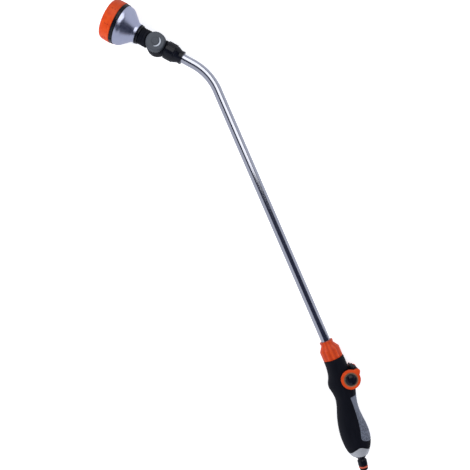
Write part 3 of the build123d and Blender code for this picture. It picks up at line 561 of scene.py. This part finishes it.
def as_thing(name, shape, matrix=None):
    """An object at the origin from a closed bmesh, with its faces outwards."""
    bmesh.ops.recalc_face_normals(shape, faces=shape.faces)
    if matrix:
        shape.transform(matrix)
    mesh = bpy.data.meshes.new(name)
    shape.to_mesh(mesh)
    shape.free()
    thing = bpy.data.objects.new(name, mesh)
    bpy.context.scene.collection.objects.link(thing)
    return thing


def settled(thing):
    """The same object with its modifiers applied to its mesh."""
    graph = bpy.context.evaluated_depsgraph_get()
    mesh = bpy.data.meshes.new_from_object(thing.evaluated_get(graph))
    thing.modifiers.clear()
    thing.data = mesh
    return thing


def piece(thing, body, slot, *nodes, finish=None, crease=35):
    """Finishes a piece: it rides on a body, has its slot's look and stands for CAD nodes."""
    mesh = thing.data
    mesh.materials.clear()
    mesh.materials.append(finish or finishes[slot])
    mesh.shade_smooth()
    mesh.set_sharp_from_angle(angle=radians(crease))
    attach(thing, body)
    if nodes:
        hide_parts(*nodes)
    return thing


def lathe_piece(name, place, outline, node, segments=96, swell=None, **looks):
    """A turned piece that stands for one CAD node."""
    thing = as_thing(name, lathed(outline, segments, swell), place.matrix)
    piece(thing, body_of[node], slot_of[node], node, **looks)


def softened(name, node, voxel, rounds=2, finish=None):
    """A moulded piece: a copy of a CAD node whose edges are rounded to about a voxel."""
    shape = bmesh.new()
    shape.from_mesh(frame["nodes"][node].data)
    bmesh.ops.remove_doubles(shape, verts=shape.verts, dist=1e-6)
    thing = as_thing(name, shape)
    rebuilt = thing.modifiers.new("Rebuilt", "REMESH")
    rebuilt.mode = "VOXEL"
    rebuilt.voxel_size = voxel * MM
    eased = thing.modifiers.new("Eased", "SMOOTH")
    eased.iterations = rounds
    return piece(settled(thing), body_of[node], slot_of[node], node, finish=finish, crease=180)


# --- rules for what repeats or follows a path -------------------------------------------------
class Rule:
    """A Geometry Nodes tree with a mesh, named sizes and a material as its inputs."""

    def __init__(self, name, **sizes):
        self.group = bpy.data.node_groups.new(name, "GeometryNodeTree")
        self.tree = Tree(self.group)
        kinds = {"Geometry": "NodeSocketGeometry", "Material": "NodeSocketMaterial"}
        self.keys = {}
        for label, value in {"Geometry": None, **sizes, "Material": None}.items():
            kind = "NodeSocketInt" if isinstance(value, int) else "NodeSocketFloat"
            made = self.group.interface.new_socket(
                label, in_out="INPUT", socket_type=kinds.get(label, kind)
            )
            if value is not None:
                made.default_value = value
            self.keys[label] = made.identifier
        self.group.interface.new_socket(
            "Geometry", in_out="OUTPUT", socket_type="NodeSocketGeometry"
        )
        self.entry = self.group.nodes.new("NodeGroupInput")

    def given(self, label):
        """One of the tree's inputs."""
        return Socket(self.tree, self.entry.outputs[label])

    def ended(self, geometry):
        """Ends the tree: what it made becomes real mesh with the given material."""
        real = self.tree.node("GeometryNodeRealizeInstances", inputs={"Geometry": geometry})
        painted = self.tree.node(
            "GeometryNodeSetMaterial",
            inputs={"Geometry": real, "Material": self.given("Material")},
        )
        out = self.group.nodes.new("NodeGroupOutput")
        self.group.links.new(painted.socket, out.inputs[0])

    def applied(self, thing, finish, **sizes):
        """Sets the tree to run on an object, with its sizes and a material."""
        step = thing.modifiers.new(self.group.name, "NODES")
        step.node_group = self.group
        for label, value in {**sizes, "Material": finish}.items():
            step[self.keys[label]] = value


def round_row_rule():
    """Copies of a mesh, spaced by an angle round X."""
    rule = Rule("round_row", Count=12, Step=0.5, Start=0.0)
    tree = rule.tree
    points = tree.node(
        "GeometryNodeMeshLine", inputs={"Count": rule.given("Count"), "Offset": (0.0, 0.0, 0.0)}
    )
    angle = rule.given("Start") + tree.node("GeometryNodeInputIndex") * rule.given("Step")
    turn = tree.node(
        "FunctionNodeAxisAngleToRotation", inputs={"Axis": (1.0, 0.0, 0.0), "Angle": angle}
    )
    row = tree.node(
        "GeometryNodeInstanceOnPoints",
        inputs={"Points": points, "Instance": rule.given("Geometry"), "Rotation": turn},
    )
    rule.ended(row)
    return rule


def bent_tube_rule():
    """A round wall along a path of straight runs, whose corners are bent to a radius."""
    rule = Rule("bent_tube", Girth=8.0, Bend=95.0, Steps=28, Segments=72)
    tree = rule.tree
    runs = tree.node("GeometryNodeMeshToCurve", inputs={"Mesh": rule.given("Geometry")})
    path = tree.node(
        "GeometryNodeFilletCurve",
        {"mode": "POLY"},
        {
            "Curve": runs,
            "Count": rule.given("Steps"),
            "Radius": rule.given("Bend"),
            "Limit Radius": False,
        },
    )
    ring = tree.node(
        "GeometryNodeCurvePrimitiveCircle",
        inputs={"Resolution": rule.given("Segments"), "Radius": rule.given("Girth")},
    )
    marked_ring = tree.node(
        "GeometryNodeStoreNamedAttribute",
        {"data_type": "FLOAT_VECTOR", "domain": "POINT"},
        {"Geometry": ring, "Name": "around", "Value": tree.node("GeometryNodeInputPosition")},
    )
    marked_path = tree.node(
        "GeometryNodeStoreNamedAttribute",
        {"data_type": "FLOAT", "domain": "POINT"},
        {
            "Geometry": path,
            "Name": "run",
            "Value": tree.node("GeometryNodeSplineParameter", output="Length"),
        },
    )
    wall = tree.node(
        "GeometryNodeCurveToMesh",
        inputs={"Curve": marked_path, "Profile Curve": marked_ring, "Fill Caps": False},
    )
    rule.ended(wall)
    return rule


round_row = round_row_rule()
bent_tube = bent_tube_rule()


def row_piece(name, place, shape, count, body, slot, start=0.0, finish=None):
    """A row of small shapes round a place's X axis, as one piece."""
    for vertex in shape.verts:
        vertex.co *= MM
    thing = as_thing(name, shape)
    round_row.applied(
        thing, finish or finishes[slot], Count=count, Step=tau / count, Start=start
    )
    settled(thing)
    thing.data.transform(place.matrix @ Matrix.Scale(1 / MM, 4))
    piece(thing, body, slot, finish=finish)


def block(low, high, bevel=0.2, segments=2):
    """A block with rounded edges between two corners."""
    shape = bmesh.new()
    bmesh.ops.create_cube(shape, size=1.0)
    low, high = Vector(low), Vector(high)
    for vertex in shape.verts:
        vertex.co = (low + high) / 2 + vertex.co * (high - low)
    bmesh.ops.bevel(
        shape, geom=shape.edges[:], offset=bevel, segments=segments, profile=0.5, affect="EDGES"
    )
    return shape


# --- tube -------------------------------------------------------------------------------------
tube_start = wand.span("wand_tube")[0]
tube_corners = [
    wand.point(tube_start),
    wand.point(bend_reach),
    head.point(head.span("wand_tube")[1]),
]
tube_line = bpy.data.meshes.new("tube")
tube_line.from_pydata(tube_corners, [(0, 1), (1, 2)], [])
tube = bpy.data.objects.new("tube", tube_line)
bpy.context.scene.collection.objects.link(tube)
bent_tube.applied(
    tube,
    finishes["tube_aluminium"],
    Girth=tube_r * MM,
    Bend=bend_radius * MM,
    Steps=28,
    Segments=72,
)
walled = tube.modifiers.new("Walled", "SOLIDIFY")
walled.thickness = tube_wall * MM
walled.offset = -1.0
piece(settled(tube), "handle", "tube_aluminium", "wand_tube")


# --- compression nuts -------------------------------------------------------------------------
def nut_outline(start, end, body_r, body_end):
    """A hand nut's outline: body, coned shoulder, collar and lip, and its bore."""
    bore_r = tube_r + 0.35
    lip_start, lip_r = end - 2.0, collar_r + 0.5
    seal_end, seal_start = end - 15.0, end - 18.5
    fall = (body_r - collar_r) / (cone_end - body_end)
    return divided(
        rounded(
            (start, thread_r),
            (start, body_r - 0.9, 0.4),
            (start + 0.9, body_r, 0.6),
            (start + 2.2, body_r),
            (body_end - 1.5, body_r),
            (body_end, body_r, 1.2),
            (body_end + 1.5, body_r - 1.5 * fall),
            (cone_end - 1.5, collar_r + 1.5 * fall),
            (cone_end, collar_r, 1.0),
            (lip_start, collar_r, 0.3),
            (lip_start, lip_r, 0.3),
            (end, lip_r, 0.6),
            (end, bore_r, 0.4),
            (end - 11.5, bore_r),
            (seal_end, groove_r),
            (seal_start, groove_r),
            (seal_start, thread_r),
        ),
        1.2,
    )


def orange_flutes(angle, along, radius):
    """Twelve wide flats on the orange nut's body, and deeper flutes up its cone."""
    if radius < thread_r + 0.1 or along < 2.4 or along > cone_end - 0.4:
        return radius
    wave = abs(sin(flute_count / 2 * angle)) ** 0.6
    if along <= nut_body:
        return radius - flute_depth * wave
    share = (along - nut_body) / (cone_end - nut_body)
    return radius - (flute_depth + 0.6 * sin(pi * share)) * (1 - share * 0.6) * wave


def nut_tabs(angle, along, radius):
    """Raised square tabs round the black nut's body."""
    tabs_start, tabs_end, fade = 2.2, 18.6, 1.2
    if radius < thread_r + 0.1 or along < tabs_start or along > tabs_end:
        return radius
    phase = (angle * tab_count / tau) % 1.0
    across = min(1.0, max(0.0, (0.34 - abs(phase - 0.5)) / 0.05))
    ends = min(1.0, max(0.0, (tabs_end - 0.6 - along) / fade))
    return radius - tab_height * (1.0 - across * ends)


outline = nut_outline(*wand.span("handle_nut"), wand.radius("handle_nut"), nut_body)
lathe_piece("handle_nut", wand, outline, "handle_nut", 216, orange_flutes, finish=nut_orange)
outline = nut_outline(*fit.span("head_end_nut"), fit.radius("head_end_nut"), 16.6)
lathe_piece("tube_end_nut", fit, outline, "head_end_nut", 200, nut_tabs, finish=nut_gloss)

# --- swivel and its knob ----------------------------------------------------------------------
softened("swivel_lower_half", "swivel_inlet", 0.45, finish=drum_black)
softened("swivel_upper_half", "swivel_outlet", 0.45, finish=drum_black)

knob_low, knob_high = pin.span("swivel_knob")
knob_r = pin.radius("swivel_knob")
face_r = knob_r - 2.2
room_high, room_r = knob_low + bolt_room[0], bolt_room[1]
knob_outline = rounded(
    (room_high, 0.0),
    (room_high, room_r),
    (knob_low, room_r),
    (knob_low, knob_r - 1.4, 0.4),
    (knob_low + 1.0, knob_r - 1.0, 0.4),
    (knob_low + 2.0, knob_r - 1.0, 0.4),
    (knob_high - 1.5, face_r + 0.3, 0.6),
    (knob_high - 0.25, face_r - 1.0, 0.4),
    (knob_high - 0.3, 6.9),
    (knob_high - 0.7, 6.7, 0.2),
    (knob_high - 0.7, 6.2, 0.2),
    (knob_high - 0.1, 5.9, 0.3),
    (knob_high - 0.1, 3.0),
    (knob_high - 0.4, 2.8, 0.2),
    (knob_high - 0.4, 0.0),
)
lathe_piece("knob_body", pin, divided(knob_outline, 2.0), "swivel_knob", 144)
rib = block(
    (knob_low + 0.1, -knob_rib_half, knob_r - 2.6),
    (knob_high - 1.9, knob_rib_half, knob_r - 0.05),
    0.35,
)
for vertex in rib.verts:
    if vertex.co.x > (knob_low + knob_high) / 2:
        vertex.co.z -= 1.5    # the ribs lean in towards the knob's face
row_piece("knob_ribs", pin, rib, knob_rib_count, "knob", "knob_grey")

mark_low, mark_high = pin.span("knob_mark")[0], knob_high - 0.05
mark_middle = radians(-187.0)
mark_half_turn = radians(76.0)
mark_steps = 24    # slices from the crescent's middle to each tip
mark_shape = bmesh.new()
slices = []
for step in range(2 * mark_steps + 1):
    share = step / mark_steps - 1.0
    angle = mark_middle + mark_half_turn * share
    half = 0.25 + 1.35 * (1.0 - share * share) ** 0.8
    inner_r, outer_r = mark_r - half, mark_r + 0.6 * half
    slices.append(
        [
            mark_shape.verts.new((along, radius * cos(angle), radius * sin(angle)))
            for along, radius in (
                (mark_low, inner_r),
                (mark_high, inner_r + 0.1),
                (mark_high, outer_r - 0.1),
                (mark_low, outer_r),
            )
        ]
    )
for one, other in zip(slices, slices[1:]):
    for number in range(4):
        after = (number + 1) % 4
        mark_shape.faces.new((one[number], one[after], other[after], other[number]))
mark_shape.faces.new(slices[0])
mark_shape.faces.new(slices[-1][::-1])
piece(as_thing("crescent_mark", mark_shape, pin.matrix), "knob", "light_grey", "knob_mark")

# --- head nut ---------------------------------------------------------------------------------
nut_low, nut_high = head.span("head_nut")
nut_r = head.radius("head_nut")
neck_low = nut_high - neck_cover
head_nut_outline = rounded(
    (nut_low, nut_bore_r),
    (nut_low, nut_r - 1.6, 0.5),
    (nut_low + 0.8, nut_r - 0.8, 0.4),
    (nut_low + 2.6, nut_r - 0.8, 0.4),
    (nut_low + 2.7, nut_r - 1.7, 0.3),
    (nut_low + 3.5, nut_r - 1.7, 0.3),
    (nut_low + 3.6, nut_r - 0.3, 0.4),
    (nut_low + band_start, nut_r, 0.3),
    (neck_low - 0.9, nut_r, 0.3),
    (neck_low - 0.3, nut_r - 0.6, 0.3),
    (neck_low - 0.3, 14.1),
    (nut_high, 14.1),
    (nut_high, 12.25),
    (nut_high - 1.3, 12.25),
    (nut_high - 1.3, nut_bore_r),
)


def scallops(angle, along, radius):
    """Thirty small scallops round the nut's gripping band."""
    if radius < nut_r - 1.0 or along < nut_low + 3.6:
        return radius
    return radius - 0.45 * max(0.0, cos(scallop_count * angle)) ** 2


outline = divided(head_nut_outline, 1.5)
lathe_piece("head_nut", head, outline, "head_nut", 240, scallops, finish=nut_gloss)

# --- bell -------------------------------------------------------------------------------------
rim = head.span("bell_housing")[1] - rim_back
bell_r = head.radius("bell_housing")
bell_steps = 24


def bell_side(inset):
    """The bell's side from its neck to its rim, drawn in by an inset."""
    shoulder = Vector((42.1, 18.0)) + Vector((0.7, -0.72)) * inset
    start = Vector((53.0, 28.0)) + Vector((0.7, -0.74)) * inset
    end = Vector((rim, bell_r - inset))
    first = start + Vector((0.742, 0.67)) * 7.6    # onwards along the cone
    last = end - Vector((7.2, 0.0))                # straight into the rim
    points = [shoulder, start]
    for step in range(1, bell_steps + 1):
        share = step / bell_steps
        one, two, three = start.lerp(first, share), first.lerp(last, share), last.lerp(end, share)
        points.append(one.lerp(two, share).lerp(two.lerp(three, share), share))
    return points


outer, inner = bell_side(0.0), bell_side(bell_wall)
cone_parts = round((outer[1] - outer[0]).length / 1.5)
floor_high = bell_low + bell_wall + 0.8
spout_r, spout_wall_r, spout_low, spout_high = 8.0, 10.7, 31.5, 37.5
hub_low, hub_r, hub_bore_r = nut_high - 1.65, 13.45, 11.85
bell_outline = [
    Vector((bell_low, hub_bore_r)),
    Vector((bell_low, 14.4)),
    Vector((neck_low, 14.4)),
    Vector((neck_low, bell_neck_r - 0.3)),
    Vector((neck_low + 0.3, bell_neck_r)),
    Vector((bell_low - 1.5, bell_neck_r)),
    Vector((bell_low, bell_neck_r + 0.15)),
    *divided(outer[:2], 1.5)[:cone_parts],
    *outer[1:-1],
    Vector((rim - 0.25, bell_r)),
    Vector((rim, bell_r - 0.25)),
    Vector((rim, bell_r - bell_wall)),
    *inner[::-1][1:],
    Vector((floor_high, 15.8)),
    Vector((floor_high, spout_r)),
    Vector((spout_low, spout_r)),
    Vector((spout_low, spout_wall_r)),
    Vector((spout_high, spout_wall_r)),
    Vector((spout_high, hub_r)),
    Vector((hub_low, hub_r)),
    Vector((hub_low, hub_bore_r)),
]
lathe_piece("bell", head, bell_outline, "bell_housing", 192)

# --- index ring -------------------------------------------------------------------------------
ring_low = head.span("index_ring")[0]
ring_high = head.span("index_ring")[1] - ring_back
ring_r = head.radius("index_ring")
ring_bore, web_bore, ring_lip_r = ring_inner_r
ring_outline = rounded(
    (ring_low, ring_bore),
    (ring_low, ring_lip_r),
    (rim, ring_lip_r),
    (rim, ring_r - 0.5, 0.2),
    (rim + 0.5, ring_r, 0.3),
    (ring_high - 0.3, ring_r, 0.2),
    (ring_high, ring_r - 0.3, 0.1),
    (ring_high, web_bore),
    (ring_seat, web_bore),
    (ring_seat, ring_bore),
)


def windows(angle, along, radius):
    """Twelve shallow windows round the ring's edge."""
    if radius < ring_r - 0.2 or along < rim + 1.2 or along > rim + 4.6:
        return radius
    phase = (angle * window_count / tau + 0.5) % 1.0
    return radius - 0.8 * min(1.0, max(0.0, (0.24 - abs(phase - 0.5)) / 0.03))


outline = divided(ring_outline, 0.6)
lathe_piece("index_ring", head, outline, "index_ring", 288, windows, finish=nut_gloss)

# --- dial -------------------------------------------------------------------------------------
dial_low, dial_high = head.span("dial_ring")
dial_low -= ring_back
dial_r = head.radius("dial_ring")
bore = dial_r - dial_grip
mouth = bore - 2.4
dial_outline = rounded(
    (dial_low, bore),
    (dial_low, dial_r - 0.5, 0.3),
    (dial_low + 0.5, dial_r, 0.4),
    (dial_low + 7.0, dial_r - 0.15),
    (dial_high - 5.2, dial_r - 0.5, 2.0),
    (dial_high - 1.6, dial_r - 1.9, 1.5),
    (dial_high - 0.05, dial_r - 4.2, 0.7),
    (dial_high, mouth, 0.3),
    (dial_web, mouth),
    (dial_web, bore),
)
lathe_piece("dial_ring", head, divided(dial_outline, 1.5), "dial_ring", 240)

marks_turn = 0.3
for name, start, end, half, foot, top in (
    ("dial_marks", 9.0, 12.0, 0.55, -0.7, -0.05),
    ("dial_pips", 5.0, 6.4, 0.8, -0.6, 0.12),
):
    shape = block(
        (dial_low + start, -half, dial_r + foot), (dial_low + end, half, dial_r + top), 0.15, 1
    )
    row_piece(name, head, shape, mark_count, "dial", "orange", marks_turn, finish=mark_orange)

plate = dial_web - 0.05
jet_outline = [(plate, 0.62), (plate, 1.15), (plate + 0.4, 0.95), (plate + 0.4, 0.7)]
for number, (ring, holes) in enumerate(hole_rings):
    shape = lathed(jet_outline, 10)
    shape.transform(Matrix.Translation((0.0, 0.0, ring)))
    row_piece(f"jet_rims_{number + 1}", head, shape, holes, "dial", "inner_grey")

cap_low, cap_high = head.span("centre_cap")
centre_r = 7.5
lathe_piece(
    "centre_cap",
    head,
    rounded(
        (cap_high - 1.8, 0.0),
        (cap_high - 1.8, centre_r - 0.6),
        (cap_low, centre_r - 0.6),
        (cap_low, centre_r),
        (cap_high - 0.7, centre_r, 0.3),
        (cap_high - 0.1, 6.9, 0.4),
        (cap_high - 0.35, 5.2, 0.3),
        (cap_high - 0.3, 0.0),
    ),
    "centre_cap",
)

# --- lever ------------------------------------------------------------------------------------
dome_r = (cap_r**2 + cap_rise**2) / (2 * cap_rise)
dome_steps = 18


def cap_outline(side, foot, tip):
    """One of the lever's caps: domed on the near side, flat on the far."""
    seat = foot + side * 2.6
    outline = [(seat, 0.0), (seat, cap_r - 1.6), (foot, cap_r - 1.6), (foot, cap_r)]
    if side < 0:
        edge = [(tip - side * 0.8, cap_r), (tip - side * 0.2, cap_r - 0.25), (tip, cap_r - 0.8)]
        return outline + edge + [(tip, 4.0), (tip, 0.0)]
    for step in range(dome_steps):
        lean = (1 - step / dome_steps) * np.arcsin(cap_r / dome_r)
        outline.append((tip - dome_r * (1 - cos(lean)), dome_r * sin(lean)))
    return outline + [(tip, 0.0)]


for side, name in ((1, "near"), (-1, "far")):
    node = f"lever_cap_{name}"
    ends = valve.span(node)
    outline = cap_outline(side, *(ends if side > 0 else ends[::-1]))
    lathe_piece(node, valve, outline, node, finish=cap_gloss)
    softened(f"lever_cheek_{name}", f"lever_cheek_{name}", 0.35, 12, finish=lever_finish)


def pad_bumps(thing):
    """Draws the thumb pad in towards its foot and gives it rounded bumps."""
    foot_r = 17.5
    keep = 0.66              # share of its height over the foot that stays
    swell = 0.9
    first, gap = radians(46.0), radians(14.3)
    for vertex in thing.data.vertices:
        x, y, z = valve.inverse @ vertex.co
        reach, angle = Vector((y, z)).length, np.arctan2(z, y)
        if reach > foot_r:
            wave = swell * cos(tau * (angle - first) / gap)
            share = min(1.0, (reach - foot_r) / 10.0)
            drawn = foot_r + (reach - foot_r) * keep + share * wave
            vertex.co = valve.point(x, drawn * cos(angle), drawn * sin(angle))


pad_bumps(softened("lever_pad", "thumb_pad", 0.4, 8))

# --- handle -----------------------------------------------------------------------------------
softened("grip_sleeve", "grip_sleeve", 0.8, 3)
softened("palm_insert", "palm_insert", 0.5, 2)
softened("crown", "end_cap", 0.5, 2)

nose_low, nose_high = grip.span("inlet_connector")
connector_outline = rounded(
    (nose_low, inlet_r),
    (nose_low, 7.7, 0.5),
    (nose_low + 1.0, 8.3),
    (133.4, 8.3),
    (133.5, 8.8, 0.3),
    (137.0, 8.8, 0.9),
    (137.8, waist_r, 0.6),
    (140.5, waist_r, 0.8),
    (nose_land[0], nose_r, 0.7),
    (nose_land[1], nose_r, 0.6),
    (151.6, 7.3, 0.3),
    (152.6, 7.3, 0.2),
    (152.7, 6.6, 0.2),
    (155.3, 6.6, 0.2),
    (155.4, 7.2, 0.2),
    (158.2, 7.2, 0.8),
    (nose_high, 6.0, 0.4),
    (nose_high, inlet_r, 0.3),
)
lathe_piece("hose_connector", grip, divided(connector_outline, 2.0), "inlet_connector")

# --- floor, light and camera ------------------------------------------------------------------
white = (1.0, 1.0, 1.0, 1.0)
floor_half = 60.0        # metres
floor_gap = 0.0002       # metres below the wand
floor_shape = bmesh.new()
bmesh.ops.create_grid(floor_shape, x_segments=1, y_segments=1, size=floor_half)
floor = as_thing("floor", floor_shape, Matrix.Translation((0.0, 0.0, cad_low.z - floor_gap)))


def pale(tree):
    """Pale studio floor, very slightly cloudy."""
    cloud = tree.noise(tree.local(wand), 400.0, 2.0)
    return {
        "Base Color": tree.mix(cloud, (0.93, 0.93, 0.93), (0.96, 0.96, 0.96)),
        "Roughness": 0.8 + 0.1 * cloud,
    }


floor.data.materials.append(
    surface("pale_floor", pale, Emission_Color=white, Emission_Strength=0.5)
)
floor.visible_glossy = False

studio = bpy.data.worlds.new("studio")
studio.use_nodes = True
sky = studio.node_tree.nodes["Background"]
sky.inputs["Color"].default_value = (0.57, 0.585, 0.64, 1.0)
sky.inputs["Strength"].default_value = 1.0
bpy.context.scene.world = studio


def card(name, place, corners, shade, strength=0.0):
    """A flat card that only reflections see, with two opposite corners in a place."""
    shape = bmesh.new()
    low, high = Vector(corners[0]), Vector(corners[1])
    if low.z == high.z:
        others = ((low.x, high.y, low.z), (high.x, low.y, low.z))
    else:
        others = ((low.x, low.y, high.z), (high.x, high.y, low.z))
    shape.faces.new([shape.verts.new(corner) for corner in (low, others[0], high, others[1])])
    thing = as_thing(name, shape, place.matrix)
    thing.data.materials.append(
        surface(
            name,
            lambda tree: {},
            Base_Color=(*shade, 1.0),
            Roughness=1.0,
            Emission_Color=white,
            Emission_Strength=strength,
        )
    )
    thing.visible_camera = False
    thing.visible_diffuse = False
    thing.visible_shadow = False
    thing.visible_transmission = False


dark = (0.012, 0.016, 0.035)
card("dark_card", wand, ((-1540.0, -1715.0, 1300.0), (2060.0, 1385.0, 1300.0)), dark)
card("rear_card", head, ((-1500.0, -560.0, -20.0), (-1500.0, 1150.0, 1300.0)), dark)
card("bright_card", wand, ((437.0, -1090.0, 1250.0), (2037.0, 310.0, 1250.0)), (0.0,) * 3, 1.6)


def lamp(name, place, position, aim, size, power):
    """A soft square lamp."""
    light = bpy.data.lights.new(name, "AREA")
    light.shape = "SQUARE"
    light.size = size
    light.energy = power
    thing = bpy.data.objects.new(name, light)
    thing.location = place.point(*position)
    thing.rotation_mode = "QUATERNION"
    thing.rotation_quaternion = (place.point(*aim) - thing.location).to_track_quat("-Z", "Y")
    thing.visible_glossy = False
    bpy.context.scene.collection.objects.link(thing)


lamp("key_lamp", wand, (700.0, 900.0, 900.0), (300.0, 0.0, 0.0), 0.7, 9.5)
lamp("fill_lamp", wand, (-500.0, -900.0, 900.0), (200.0, 0.0, 0.0), 0.9, 5.5)

eye = (262.4, 71.3, 1122.0)    # the camera, above the wand's middle
rightwards = Vector((-0.3975, -0.9176, 0.0))    # its right-hand side
right = wand.turn @ rightwards.normalized()
camera_data = bpy.data.cameras.new("camera")
camera_data.lens = 49.8
camera_data.sensor_width = 36.0
camera = bpy.data.objects.new("camera", camera_data)
camera.matrix_world = Matrix.Translation(wand.point(*eye)) @ Matrix(
    (right, up.cross(right), up)
).transposed().to_4x4()
bpy.context.scene.collection.objects.link(camera)
bpy.context.scene.camera = camera
bpy.context.scene.view_settings.view_transform = "Standard"
